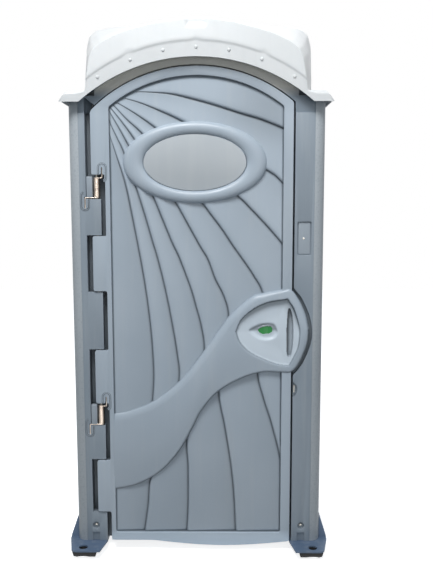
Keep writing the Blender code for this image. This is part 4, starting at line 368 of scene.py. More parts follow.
def white_backdrop(name):
    """A matt floor that looks white and lights the object little."""
    made = bpy.data.materials.new(name)
    made.use_nodes = True
    tree = made.node_tree
    tree.nodes.clear()
    grain = add_node(tree, "TexNoise", {"Scale": 3.0})
    tone = ramp(tree, grain.outputs["Fac"], [(0.4, "#F2F2F1"), (0.6, "#F6F6F6")])
    matt = add_node(tree, "BsdfDiffuse", links={"Color": tone})
    plain = add_node(tree, "Emission", {"Strength": 0.80})
    both = add_node(tree, "AddShader", links={0: matt.outputs[0], 1: plain.outputs[0]})
    dull = add_node(tree, "BsdfDiffuse", {"Color": linear("#77797B")})
    surface = blended_shader(tree, seen_as_white(tree), dull, both)
    add_node(tree, "OutputMaterial", links={"Surface": surface})
    return made


def set_stage():
    """A pale room with a soft lamp above, a weak fill in front and one behind."""
    scene = bpy.context.scene
    scene.view_settings.view_transform = "Standard"
    world = bpy.data.worlds.new("soft studio")
    scene.world = world
    world.use_nodes = True
    tree = world.node_tree
    tree.nodes.clear()
    glow = add_node(tree, "Background", {"Color": linear("#DDE6EE"), "Strength": 0.40})
    white = add_node(tree, "Background", {"Color": (1, 1, 1, 1), "Strength": 1.0})
    surface = blended_shader(tree, seen_as_white(tree), glow, white)
    add_node(tree, "OutputWorld", links={"Surface": surface})
    floor = bmesh.new()
    bmesh.ops.create_grid(floor, x_segments=8, y_segments=8, size=9.0)
    bmesh.ops.translate(floor, verts=floor.verts, vec=(0, 0, -0.0005))
    ground = make_piece("floor", floor, white_backdrop("matt white floor"), None, recalc=False)
    add_lamp("top_soft", (-0.5, -2.55, 4.5), (0, -0.5, 1.15), (1.8, 1.2), 122)
    add_lamp("front_fill", (1.4, -4.6, 1.9), (0, -0.5, 1.0), (2.0, 2.0), 20)
    add_lamp("back_soft", (0.8, 3.4, 3.8), (0, 0.5, 1.2), (3.0, 2.4), 22)


aim_camera()
set_stage()

# ----- curves and sheets -----

# Outline turns gentler than this keep their corner, in radians
GENTLE_TURN = 0.4
# Places that are measured in one go, to spare memory
BATCH = 4000


def thousandths(points):
    """Places given in millimetres, or in thousandths of a width and a height."""
    return [(across / 1000, up / 1000) for across, up in points]


def smooth_line(points, count):
    """Even places along a smooth curve through the points."""
    held = np.array([points[0], *points, points[-1]], float)
    held[0], held[-1] = 2 * held[1] - held[2], 2 * held[-2] - held[-3]
    steps = np.linspace(0, 1, 24, endpoint=False)[:, None]
    parts = [
        0.5 * (2 * b + (c - a) * steps + (2 * a - 5 * b + 4 * c - d) * steps**2 + (3 * b - a - 3 * c + d) * steps**3)
        for a, b, c, d in zip(held, held[1:], held[2:], held[3:])
    ]
    dense = np.concatenate(parts + [held[-2:-1]])
    run = np.concatenate([[0], np.cumsum(norm(np.diff(dense, axis=0), axis=1))])
    at = np.linspace(0, run[-1], count)
    return np.stack([np.interp(at, run, dense[:, i]) for i in range(dense.shape[1])], axis=1)


def sheet(places, painted_shade=None):
    """A grid of quads over rows of places, with how much painted shade each place holds."""
    rows, columns = places.shape[:2]
    shape = bmesh.new()
    bmesh.ops.create_grid(shape, x_segments=columns - 1, y_segments=rows - 1, size=1)
    held = shape.verts.layers.float.new("painted_shade")
    amounts = np.zeros(rows * columns) if painted_shade is None else painted_shade.reshape(-1)
    for vertex, place, amount in zip(shape.verts, places.reshape(-1, 3), amounts):
        vertex.co = place
        vertex[held] = amount
    return shape


def new_places(made):
    """The vertices among what an extrusion made."""
    return [v for v in made["geom"] if isinstance(v, bmesh.types.BMVert)]


def thickened(shape, thickness):
    """Give a sheet its thickness, straight in from each place, so that tips get no spikes."""
    shape.normal_update()
    inward = {tuple(v.co): v.normal * -thickness for v in shape.verts}
    for vertex in new_places(bmesh.ops.extrude_face_region(shape, geom=shape.faces[:], use_keep_orig=True)):
        vertex.co += inward[tuple(vertex.co)]


def depth_inside(outline, spots):
    """How far places lie inside a closed outline, less than 0 outside."""
    line = np.array(outline)
    start, end = line[None], np.roll(line, -1, axis=0)[None]
    found = []
    for some in np.array_split(spots, 1 + len(spots) // BATCH):
        span, reach = end - start, some[:, None] - start
        share = np.clip((reach * span).sum(2) / np.maximum((span**2).sum(2), 1e-12), 0, 1)
        gap = norm(reach - share[..., None] * span, axis=2).min(1)
        rise = np.where(np.abs(span[..., 1]) < 1e-9, 1e-9, span[..., 1])
        across = start[..., 0] + reach[..., 1] * span[..., 0] / rise
        level = some[:, None, 1]
        crossed = ((start[..., 1] > level) != (end[..., 1] > level)) & (some[:, None, 0] < across)
        found.append(np.where(crossed.sum(1) % 2 == 1, gap, -gap))
    return np.concatenate(found)


def eased(value, low, high):
    """A smooth rise from 0 to 1 between two values."""
    share = np.clip((value - low) / (high - low), 0, 1)
    return share * share * (3 - 2 * share)


def rounded_corners(points, radius, steps=4):
    """An outline with its sharp corners turned into arcs."""
    line, made = [np.array(p, float) for p in points], []
    for before, corner, after in zip(line[-1:] + line[:-1], line, line[1:] + line[:1]):
        back, ahead = before - corner, after - corner
        long_back, long_ahead = norm(back), norm(ahead)
        turn = pi - np.arccos(np.clip(back @ ahead / (long_back * long_ahead), -1, 1))
        if turn < GENTLE_TURN:
            made.append(tuple(corner))
            continue
        reach = min(radius, 0.45 * long_back, 0.45 * long_ahead)
        first, last = corner + back / long_back * reach, corner + ahead / long_ahead * reach
        for t in np.linspace(0, 1, steps + 1):
            made.append(tuple((1 - t) ** 2 * first + 2 * t * (1 - t) * corner + t * t * last))
    return made


def arch_line(left, right, top, radius, count):
    """Places on a round arch, from left to right."""
    return [(x, top - radius + sqrt(radius**2 - x * x)) for x in np.linspace(left, right, count)]


def push_back(shape, depth_y):
    """Carry a sheet's open edges straight back to a depth and close it."""
    edges = [e for e in shape.edges if e.is_boundary]
    for vertex in new_places(bmesh.ops.extrude_edge_only(shape, edges=edges)):
        vertex.co.y = depth_y
    bmesh.ops.holes_fill(shape, edges=[e for e in shape.edges if e.is_boundary], sides=0)


def trim_to(shape, outline, keep=False):
    """Cut a sheet along a convex clockwise outline, and drop what is outside it."""
    for start, end in zip(outline, outline[1:] + outline[:1]):
        run = Vector((end[0] - start[0], 0, end[1] - start[1]))
        if run.length < 1e-6:
            continue
        out = Vector((-run.z, 0, run.x)).normalized()
        geom = shape.verts[:] + shape.edges[:] + shape.faces[:]
        bmesh.ops.bisect_plane(
            shape, geom=geom, plane_co=(start[0], 0, start[1]), plane_no=out,
            dist=1e-6, clear_outer=not keep, clear_inner=False,
        )


def flat_face(outline, y):
    """One face in elevation from its outline."""
    shape = bmesh.new()
    shape.faces.new([shape.verts.new((x, y, z)) for x, z in outline])
    return shape


def block(size, middle):
    """A box from its size and its middle."""
    shape = bmesh.new()
    bmesh.ops.create_cube(shape, size=1.0)
    bmesh.ops.scale(shape, verts=shape.verts, vec=size)
    bmesh.ops.translate(shape, verts=shape.verts, vec=middle)
    return shape


def extruded(shape, depth):
    """Give flat faces a thickness, towards the back."""
    made = bmesh.ops.extrude_face_region(shape, geom=shape.faces[:])
    bmesh.ops.translate(shape, verts=new_places(made), vec=(0, depth, 0))
    bmesh.ops.recalc_face_normals(shape, faces=shape.faces)


def edges_at(shape, y):
    """The edges that lie in the plane at y."""
    return [e for e in shape.edges if all(abs(v.co.y - y) < 1e-6 for v in e.verts)]


def face_centres(shape):
    """The middle of each face in elevation."""
    return np.array([tuple(f.calc_center_median())[::2] for f in shape.faces])


def drop_faces(shape, flags):
    """Delete the faces that are flagged."""
    bmesh.ops.delete(shape, geom=[f for f, flag in zip(shape.faces[:], flags) if flag], context="FACES")


# ----- the door -----

FINGER_FEET = [0.181 + 0.49298 * i for i in range(4)]
FINGER_LONG = 0.235
# Slots in the second and fourth finger for the springs' legs
SLOTTED_FEET = FINGER_FEET[1::2]
SLOT_LEFT_X, SLOT_RIGHT_X, SLOT_TALL = -0.402, -0.396, 0.030
NOTCH_LOW_Z, NOTCH_HIGH_Z = 0.835, 1.148


def leaf_foot_z(x):
    """The leaf's foot: level by the hinge, then bowed down."""
    share = max(0.0, (x - DOOR_EDGE_X - 0.185) / (DOOR_RIGHT_X - DOOR_EDGE_X - 0.185))
    return 0.049 - 0.004 * share - 0.021 * sin(pi * share)


def leaf_outline():
    """The leaf with its fingers in elevation, clockwise from below the handle."""
    points = [(DOOR_RIGHT_X, NOTCH_LOW_Z)]
    points += [(x, leaf_foot_z(x)) for x in np.linspace(DOOR_RIGHT_X, DOOR_EDGE_X, 30)]
    for foot in FINGER_FEET:
        points.append((DOOR_EDGE_X, foot))
        if foot in SLOTTED_FEET:
            points += [(SLOT_RIGHT_X, foot), (SLOT_RIGHT_X, foot + SLOT_TALL)]
            points += [(SLOT_LEFT_X, foot + SLOT_TALL), (SLOT_LEFT_X, foot)]
        points.append((DOOR_FINGER_X, foot))
        if foot < FINGER_FEET[-1]:
            points += [(DOOR_FINGER_X, foot + FINGER_LONG), (DOOR_EDGE_X, foot + FINGER_LONG)]
    points += arch_line(DOOR_FINGER_X, DOOR_RIGHT_X, ARCH_TOP_Z, ARCH_RADIUS, 41)
    return points + [(DOOR_RIGHT_X, NOTCH_HIGH_Z)]


def field_outline(grow=0.0):
    """The recessed field, clockwise from its hinge foot."""
    left, right = FIELD_LEFT_X - grow, FIELD_RIGHT_X + grow
    arch = arch_line(left, right, FIELD_TOP_Z + grow, FIELD_ARCH_RADIUS + grow, 31)
    return [(left, FIELD_FOOT_Z - grow)] + arch + [(right, FIELD_FOOT_Z - grow)]


def by_spring_slot(vertex):
    """Whether a place is on a finger's slot."""
    x, _, z = vertex.co
    beside = SLOT_LEFT_X - 0.0015 < x < SLOT_RIGHT_X + 0.0015
    return beside and any(foot + 0.001 < z < foot + SLOT_TALL + 0.002 for foot in SLOTTED_FEET)


def build_rim():
    """The raised rim with its round fingers, open behind the handle."""
    field = field_outline()
    notch = [(FIELD_RIGHT_X, NOTCH_HIGH_Z)] + field[-2::-1] + [field[-1], (FIELD_RIGHT_X, NOTCH_LOW_Z)]
    shape = flat_face(rounded_corners(leaf_outline() + notch, 0.009), RIM_Y)
    extruded(shape, TRAY_BACK_Y - RIM_Y)
    edges = [e for e in edges_at(shape, RIM_Y) if e.calc_face_angle(0) > 1.2 and not all(map(by_spring_slot, e.verts))]
    rounded(shape, edges, 0.006, segments=4, clamp=True)
    door_piece("door_rim", shape, RIM_PLASTIC, 40)
    size = (DOOR_RIGHT_X - FIELD_RIGHT_X, 0.0076, NOTCH_HIGH_Z - NOTCH_LOW_Z)
    middle = (0.5 * (FIELD_RIGHT_X + DOOR_RIGHT_X), TRAY_BACK_Y - 0.004, 0.5 * (NOTCH_LOW_Z + NOTCH_HIGH_Z))
    door_piece("handle_backing", block(size, middle), DOOR_PLASTIC, 40)


# Millimetres on the face: the fan's two edges, and its grooves from the top one round to the hinge side
FAN_TOP = [(-340, 2100), (-100, 2140), (300, 2150), (470, 2050), (490, 1000), (480, 40)]
FAN_SIDE = [(-425, 1890), (-430, 1200), (-430, 40)]
FAN_GROOVES = [
    [(-247, 2001), (-122, 1994), (-48, 1980), (63, 1951), (185, 1913), (270, 1888), (364, 1851), (405, 1834),
     (450, 1750), (455, 1000), (450, 40)],
    [(-302, 1975), (-233, 1955), (-159, 1926), (-69, 1886), (100, 1797), (220, 1727), (291, 1681), (328, 1658),
     (364, 1624), (400, 1588), (435, 1500), (440, 900), (436, 40)],
    [(-332, 1957), (-253, 1910), (-174, 1855), (0, 1722), (169, 1575), (230, 1515), (295, 1447), (363, 1369),
     (395, 1326), (422, 1240), (428, 800), (424, 40)],
    [(-348, 1949), (-290, 1887), (-230, 1832), (-100, 1691), (19, 1546), (58, 1494), (110, 1425), (153, 1360),
     (196, 1300), (240, 1235), (280, 1162), (292, 1060), (276, 930), (262, 803), (289, 689), (321, 588), (360, 440),
     (385, 330), (405, 200), (412, 40)],
    [(-361, 1939), (-307, 1871), (-262, 1808), (-175, 1677), (-95, 1552), (-62, 1494), (-29, 1434), (14, 1356),
     (47, 1300), (78, 1217), (113, 1147), (134, 1074), (130, 990), (105, 880), (91, 725), (119, 562), (144, 403),
     (159, 252), (167, 87), (169, 40)],
    [(-367, 1926), (-326, 1855), (-288, 1784), (-236, 1677), (-185, 1569), (-148, 1477), (-106, 1373), (-76, 1308),
     (-30, 1185), (-5, 1098), (16, 1018), (30, 924), (20, 830), (-20, 680), (-49, 507), (-44, 381), (-45, 207),
     (-51, 90), (-53, 40)],
    [(-368, 1887), (-334, 1814), (-307, 1754), (-258, 1610), (-221, 1490), (-192, 1386), (-168, 1304), (-137, 1173),
     (-111, 1037), (-89, 899), (-80, 784), (-110, 620), (-170, 460), (-211, 328), (-223, 206), (-239, 92), (-246, 40)],
    [(-363, 1822), (-336, 1735), (-301, 1618), (-269, 1455), (-234, 1257), (-212, 1103), (-196, 932), (-192, 760),
     (-215, 600), (-290, 460), (-385, 380), (-405, 250), (-405, 40)],
]
# The corner that the grooves spread from, and the length that leads into each of them
FAN_CORNER, FAN_LEAD = (-0.42, 2.03), 0.030
# Depth of a step, painted shade below it, places along it, and rows between two steps
FAN_STEP, FAN_SHADE, FAN_PLACES, FAN_ROWS = 0.0088, 0.14, 260, 12
# Across each step: offset towards the hinge, share of the depth, and painted shade
STEP_SHAPE = [
    (-0.013, 0.0, 0.0), (-0.007, 0.1, 0.0), (-0.0032, 0.38, 0.2), (0.0, 0.95, 0.7), (0.0024, 1.3, 0.84),
    (0.005, 1.25, 0.54), (0.009, 1.08, 0.24), (0.015, 1.0, 0.15),
]


def fan_line(points):
    """Places along a line at even steps away from the fan's corner."""
    line = smooth_line(points, 900)
    away = np.maximum.accumulate(norm(line - np.array(FAN_CORNER), axis=1))
    at = np.linspace(away[0], away[-1], FAN_PLACES)
    return np.stack([np.interp(at, away, line[:, i]) for i in (0, 1)], axis=1)


def fan_steps():
    """Rows of places across the fan's steps, each with its depth and painted shade."""
    level = np.ones((FAN_PLACES, 1))
    rows = [np.hstack([fan_line(thousandths(FAN_TOP)), level * 0.004, level * 0])]
    for groove in map(thousandths, FAN_GROOVES):
        start, onward = np.array(groove[0]), np.array(groove[1])
        lead = start + (start - onward) / norm(start - onward) * FAN_LEAD
        line = fan_line([tuple(lead)] + groove)
        run = np.gradient(line, axis=0)
        away = np.stack([run[:, 1], -run[:, 0]], axis=1) / norm(run, axis=1)[:, None]
        far = np.concatenate([[0], np.cumsum(norm(np.diff(line, axis=0), axis=1))])
        # Steps start shallow and narrow in the fan's corner
        step = FAN_STEP * (0.25 + 0.75 * eased(far, 0.03, 0.30))
        narrow = 0.26 + 0.74 * eased(far, 0.0, 0.32)
        for offset, share, painted_shade in STEP_SHAPE:
            spots = line + away * (offset * narrow)[:, None]
            rows.append(np.column_stack([spots, step * share, np.full(FAN_PLACES, painted_shade)]))
    return rows + [np.hstack([fan_line(thousandths(FAN_SIDE)), level * 0.001, level * 0])]


def build_field():
    """The fan of shingled panels, each proud at its lower edge over a narrow step darkened with painted shade."""
    rows, filled = fan_steps(), []
    for i, row in enumerate(rows):
        filled.append(row)
        if i % len(STEP_SHAPE) == 0 and i + 1 < len(rows):
            for share in np.linspace(0, 1, FAN_ROWS)[1:-1]:
                between = row + (rows[i + 1] - row) * share
                # Painted shade on each panel just below the step above it
                between[:, 3] = FAN_SHADE * (1 - share) ** 2 if i else 0
                filled.append(between)
    places = np.array(filled)
    spots = np.stack([places[..., 0], FIELD_Y + places[..., 2], places[..., 1]], axis=2)
    shape = sheet(spots, places[..., 3])
    trim_to(shape, field_outline(0.009))
    # Rows of places along the edge, for its painted shade and its fold
    for inset in (0.0, 0.0035, 0.0075, 0.0125):
        trim_to(shape, field_outline(-inset), keep=True)
    held = shape.verts.layers.float["painted_shade"]
    gaps = depth_inside(field_outline(), np.array([tuple(v.co)[::2] for v in shape.verts]))
    # Painted shade along the field's edge, broader under the arch, and a painted shadow of the roof in the far top
    # corner
    for vertex, gap in zip(shape.verts, gaps):
        near = 1 - float(eased(gap, 0.0015, 0.0080 + 0.0050 * (vertex.co.z > 1.86)))
        shaded = 0.30 * float(eased(vertex.co.x, 0.02, 0.33) * eased(vertex.co.z, 1.72, 1.95))
        vertex[held] = max(min(vertex[held] + shaded, 0.9), 0.72 * near)
        vertex.co.y += 0.002 * near
    centres = face_centres(shape)
    under_sweep = depth_inside(sweep_outline(), centres) > 0.012
    drop_faces(shape, (depth_inside(bowl_outline(), centres) > -0.008) & under_sweep)
    push_back(shape, TRAY_BACK_Y - 0.003)
    door_piece("fan_field", shape, DOOR_PLASTIC, 60)


SIGN_X, SIGN_Z = -0.008, 1.710
# Half width and height of the bezel outside and inside, and the sheet's lap
SIGN_OUTER, SIGN_INNER, SIGN_LAP = (0.305, 0.171), (0.215, 0.116), 0.001
BEZEL_SEAT_Y, BEZEL_BACK_Y, BEZEL_TALL = -0.491, -0.489, 0.030
SIGN_Y, SIGN_THICK = -0.5095, 0.006


def build_sign():
    """An oval bezel like half a ring, with a plain flat sheet in it."""
    shape = bmesh.new()
    bow = [(0.5 - 0.5 * cos(a), BEZEL_SEAT_Y - BEZEL_TALL * sin(a) ** 0.75) for a in np.linspace(0, pi, 17)]
    loop = [shape.verts.new((1 + share, y, 0)) for share, y in bow]
    loop.append(shape.verts.new((1.5, BEZEL_BACK_Y, 0)))
    edges = [shape.edges.new(pair) for pair in zip(loop, loop[1:] + loop[:1])]
    bmesh.ops.spin(shape, geom=loop + edges, cent=(0, 0, 0), axis=(0, 1, 0), angle=2 * pi, steps=128, use_merge=True)
    for vertex in shape.verts:
        away = sqrt(vertex.co.x**2 + vertex.co.z**2)
        reach = [inner + (outer - inner) * (away - 1) for inner, outer in zip(SIGN_INNER, SIGN_OUTER)]
        vertex.co = (SIGN_X + vertex.co.x / away * reach[0], vertex.co.y, SIGN_Z + vertex.co.z / away * reach[1])
    door_piece("sign_bezel", shape, DOOR_PLASTIC, 50)
    plate = bmesh.new()
    bmesh.ops.create_circle(plate, cap_ends=True, segments=96, radius=1.0)
    wide, tall = SIGN_INNER[0] + SIGN_LAP, SIGN_INNER[1] + SIGN_LAP
    for vertex in plate.verts:
        vertex.co = (SIGN_X + vertex.co.x * wide, SIGN_Y, SIGN_Z + vertex.co.y * tall)
    extruded(plate, SIGN_THICK)
    rounded(plate, edges_at(plate, SIGN_Y), 0.0014)
    door_piece("sign_panel", plate, SIGN_PLASTIC, 50)


# ----- the sweep, its handle and the lock window -----

# Thousandths of the field's width and height, from the hinge side out
SWEEP_TOP = [
    (-4, 273), (89, 279), (241, 303), (392, 347), (516, 403), (621, 458), (699, 496), (818, 534), (896, 543),
    (1004, 550.5), (1048, 550.5),
]
HANDLE_END = [(1095, 529), (1139, 494), (1158, 460), (1150, 430), (1107, 390), (1060, 368.5)]
SWEEP_FOOT = [
    (999, 366), (881, 366), (760, 352), (626, 323), (529, 282), (473, 242), (389, 187), (274, 140), (136, 110),
    (-4, 97.5),
]
BOWL = [
    (724, 459), (756, 485), (825, 508), (915, 523.5), (1033, 530.5), (1070, 508), (1096, 478), (1106, 456),
    (1098, 425), (1073, 402), (1044, 381.5), (970, 385), (890, 396), (805, 413), (748, 435),
]
# Millimetres on the face: the hollow round the window, the window and the finger slot
EYE = [(220, 997), (254, 1020), (288, 1029), (327, 1026), (343, 1005), (346, 980), (327, 959), (288, 954), (250, 967)]
WINDOW = [
    (261, 997), (269, 1007), (292.5, 1014.3), (316, 1013.5), (322.5, 1003), (319.5, 989), (305, 981), (284, 979.5),
    (267, 986),
]
SLOT = [
    (386.5, 890), (384, 940), (383.5, 987), (385, 1040), (389, 1084), (395, 1092), (405, 1075), (411, 1030),
    (412.5, 985), (410, 930), (404, 892), (396, 882),
]

SWEEP_SEAT_Y, SWEEP_FACE_Y, SWEEP_BACK_Y = -0.4985, -0.5215, -0.490
WINDOW_SEAT_Y, SLOT_FLOOR_Y = -0.5056, -0.4885
# The sheet's thickness, and its round shoulders along the upper and lower edges
SWEEP_THICK, TOP_ROUND, FOOT_ROUND = 0.0018, 0.034, 0.014
# Steps along each edge that the places are picked from
EDGE_STEPS = 2000


def on_field(shares):
    """Places from thousandths of the field's width and height."""
    return [(FIELD_LEFT_X + 0.730 * across, FIELD_FOOT_Z + 1.981 * up) for across, up in thousandths(shares)]


def closed_curve(points):
    """A smooth closed outline through places in millimetres."""
    points, count = thousandths(points), 120
    turned = points[-3:] + points + points[:3]
    line = smooth_line(turned, 6 * count)
    first = int(np.argmin(norm(line[: 3 * count] - points[0], axis=1)))
    last = 3 * count + int(np.argmin(norm(line[3 * count :] - points[0], axis=1)))
    return line[first : last : max(1, (last - first) // count)]


def bowl_outline():
    """The bowl's edge, with its two pointed corners kept sharp."""
    line = on_field(BOWL)
    top, foot = line[:5], line[4:11]
    low = line[10:] + line[:1]
    return np.concatenate([smooth_line(part, 40)[:-1] for part in (top, foot, low)])


def sweep_outline():
    """The sweep and its handle in elevation."""
    return smooth_line(on_field(SWEEP_TOP + HANDLE_END + SWEEP_FOOT), 300)


def line_gap(line, spots):
    """Distance from places to an open line."""
    parts = np.array_split(spots, 1 + len(spots) // BATCH)
    return np.concatenate([norm(some[:, None] - line[None], axis=2).min(1) for some in parts])


def snapped(spots, outline, reach):
    """Places, with those next to an outline moved onto it."""
    gap = depth_inside(outline, spots)
    nudge = 0.0002
    ways = [depth_inside(outline, spots + np.array(way)) - gap for way in ((nudge, 0), (0, nudge))]
    slope = np.stack(ways, axis=1) / nudge
    long = np.maximum(norm(slope, axis=1), 0.5)[:, None]
    return np.where((np.abs(gap) < reach)[:, None], spots - slope / long**2 * gap[:, None], spots)


def quarter(share):
    """A round shoulder: rises steeply from 0 and runs level into 1."""
    return np.sqrt(1 - (1 - np.clip(share, 0, 1)) ** 2)


def outward(spots):
    """0 on the leaf and 1 on the handle past its edge."""
    return eased(spots[..., 0], 0.355, 0.402)


def sweep_painted_shade(spots, bowl, eye, slot, top, foot):
    """Painted shade along the sweep's edges, in its hollows and round its slot."""
    dish, height = depth_inside(eye, spots), spots[:, 1]
    painted_shade = 0.75 * (1 - eased(line_gap(foot, spots), 0.001, 0.010))
    painted_shade += 0.30 * (1 - eased(line_gap(top, spots), 0.0, 0.004))
    eye_middle = np.array(eye)[:, 1].mean()
    painted_shade += 0.60 * eased(height, eye_middle - 0.004, eye_middle + 0.010) * eased(dish, -0.001, 0.005)
    left_of_slot = 1 - eased(spots[:, 0] - np.array(slot)[:, 0].mean(), -0.006, 0.004)
    painted_shade += (0.35 + 0.50 * left_of_slot) * eased(depth_inside(slot, spots), -0.0005, 0.0008)
    painted_shade += np.where(bowl > 0, 0.50 * eased(height, 0.975, 1.09) * (1 - eased(bowl, 0.002, 0.050)), 0)
    painted_shade += 0.45 * (1 - eased(np.abs(bowl - 0.003), 0.0, 0.005))
    return np.minimum(painted_shade, 0.85)


def build_sweep():
    """The sweep up into the pull handle, with its bowl, lock window and finger slot."""
    tip = on_field(HANDLE_END[2:3])
    top = smooth_line(on_field(SWEEP_TOP + HANDLE_END[:2]) + tip, EDGE_STEPS + 1)
    foot = smooth_line(on_field((HANDLE_END[3:] + SWEEP_FOOT)[::-1]) + tip, EDGE_STEPS + 1)
    along = np.concatenate([np.linspace(0, 0.55, 80), np.linspace(0.55, 1, 200)[1:]])
    picks = np.round(along * EDGE_STEPS).astype(int)
    even = np.linspace(0, 1, 118)
    across = 0.5 * even + 0.25 * (1 - np.cos(pi * even))
    spots = foot[picks][None] + (top - foot)[picks][None] * across[:, None, None]
    rows, columns = spots.shape[:2]
    shares = np.broadcast_to(along, (rows, columns)).reshape(-1)
    middle = np.broadcast_to(np.sin(pi * across)[:, None], (rows, columns)).reshape(-1)
    spots = spots.reshape(-1, 2)
    eye, window, slot = closed_curve(EYE), closed_curve(WINDOW), closed_curve(SLOT)
    for outline, reach in ((bowl_outline(), 0.0011), (slot, 0.0012), (window, 0.0013)):
        spots = snapped(spots, outline, reach)
    # The convex face between its round shoulders
    seat = SWEEP_SEAT_Y - 0.0110 * outward(spots)
    front = SWEEP_FACE_Y - 0.0105 * middle + 0.0120 * (1 - eased(shares, -0.05, 0.34))
    round_top = TOP_ROUND - 0.020 * eased(shares, 0.62, 0.86)
    shoulder = quarter(line_gap(top, spots) / round_top) * quarter(line_gap(foot, spots) / FOOT_ROUND)
    depth = seat + (front - seat) * shoulder
    # The bowl, the eye, the slot's floor and the window's seat
    bowl = depth_inside(bowl_outline(), spots)
    dished = 0.0100 * quarter(bowl / 0.012) + 0.0085 * eased(bowl, -0.01, 0.085)
    depth += 0.0010 * eased(bowl, -0.007, 0) + np.where(bowl > 0, dished, 0)
    depth += 0.0060 * eased(bowl, 0, 0.012) * eased(spots[:, 1], 0.95, 1.12)
    depth += 0.0078 * eased(depth_inside(eye, spots), -0.003, 0.014)
    depth = np.where(depth_inside(slot, spots) > 0.0004, SLOT_FLOOR_Y, depth)
    depth = np.where(depth_inside(window, spots) > -0.004, np.minimum(depth, WINDOW_SEAT_Y), depth)
    # Painted shade along its edges and in its hollows
    painted_shade = sweep_painted_shade(spots, bowl, eye, slot, top, foot)
    places = np.column_stack([spots[:, 0], depth, spots[:, 1], painted_shade]).reshape(rows, columns, 4)
    edges = places[[0, -1]]
    edges[..., 1] = SWEEP_BACK_Y - 0.0180 * outward(edges)
    places = np.concatenate([edges[:1], places, edges[1:]])
    shape = sheet(places[..., :3], places[..., 3])
    weld(shape)
    bmesh.ops.dissolve_degenerate(shape, edges=shape.edges, dist=1e-6)
    drop_faces(shape, depth_inside(window, face_centres(shape)) > 0)
    if sum(f.normal.y for f in shape.faces) > 0:
        bmesh.ops.reverse_faces(shape, faces=shape.faces)
    thickened(shape, SWEEP_THICK)
    # The bowl's inner faces take the paler material, a painted light
    for face, gap in zip(shape.faces, depth_inside(bowl_outline(), face_centres(shape))):
        face.material_index = int(gap > 0.004)
    sweep = door_piece("sweep_handle", shape, DOOR_PLASTIC, 55)
    sweep.data.materials.append(BOWL_PAINTED_LIGHT_PLASTIC)


# ----- the roof -----

# Half sections from crest to eave, in thousandths of the half width and the height
FRONT_FACE = [
    (0, 882), (142, 872), (283, 841), (425, 792), (566, 733), (690, 653), (761, 575), (791, 472), (800, 320),
    (806, 115), (885, 115), (965, 115), (1000, 0),
]
FRONT_ROUND = [
    (0, 930), (150, 925), (300, 900), (450, 860), (600, 800), (735, 720), (800, 640), (835, 540), (848, 370),
    (856, 115), (905, 115), (967, 115), (1000, 0),
]
SHOULDER = [
    (0, 1000), (177, 997), (354, 992), (531, 984), (708, 975), (835, 952), (885, 888), (906, 740), (910, 430),
    (912, 115), (933, 115), (967, 115), (1000, 0),
]
ROOF_HALF_WIDTH, ROOF_TALL, EAVE_Z, ROOF_THICK = 0.565, 0.385, 1.960, 0.004
# Height of the ledge inside the eave, as a share of the roof's
LEDGE_SHARE = 0.115
FLANGE_TOP_Z, FLANGE_RADIUS, FLANGE_FOOT_Z = 2.134, 0.742, 1.955
# Rows of places from each section to the next, and places from crest to eave
ROOF_COUNTS, ROOF_PLACES = (16, 8, 14, 10, 14, 18, 8, 5, 5, 5, 5), 133


def arch_edge(x):
    """Lower edge of the roof's front, an arch that ends level."""
    arch = FLANGE_TOP_Z - FLANGE_RADIUS + np.sqrt(np.maximum(FLANGE_RADIUS**2 - x * x, 0))
    return np.maximum(arch, FLANGE_FOOT_Z)


def roof_rows():
    """The roof's half sections and their depths, from the front lip to the rear eave."""
    def section(shares, drop=0.0, narrow=1.0):
        return np.array(thousandths(shares)) * (ROOF_HALF_WIDTH * narrow, ROOF_TALL - drop) + (0, EAVE_Z)

    face, rear = section(FRONT_FACE), section(SHOULDER, 0.093, 0.985)
    x, z = face.T
    edge = arch_edge(x)
    ledge = np.column_stack([rear[:, 0], np.minimum(rear[:, 1], EAVE_Z + LEDGE_SHARE * ROOF_TALL)])
    return [
        (-0.550, np.column_stack([x, edge])),
        (-0.550, np.column_stack([x, np.minimum(edge + 0.070, edge + (z - edge) * 0.62)])),
        (-0.540, np.column_stack([x * 0.985, edge + (z - edge) * 0.9])),
        (-0.498, face),
        (-0.400, section(FRONT_ROUND)),
        (-0.180, section(SHOULDER)),
        (0.390, section(SHOULDER, 0.045)),
        (0.500, section(SHOULDER, 0.060)),
        (0.524, rear),
        (0.532, ledge),
        (0.560, ledge),
        (0.580, np.column_stack([rear[:, 0], np.full(len(rear), EAVE_Z)])),
    ]


def blurred(values, reach):
    """Values softened along the first axis; the ends stay."""
    held = np.concatenate([np.repeat(values[:1], reach, axis=0), values, np.repeat(values[-1:], reach, axis=0)])
    mean = np.mean([held[i : i + len(values)] for i in range(2 * reach + 1)], axis=0)
    mean[0], mean[-1] = values[0], values[-1]
    return mean


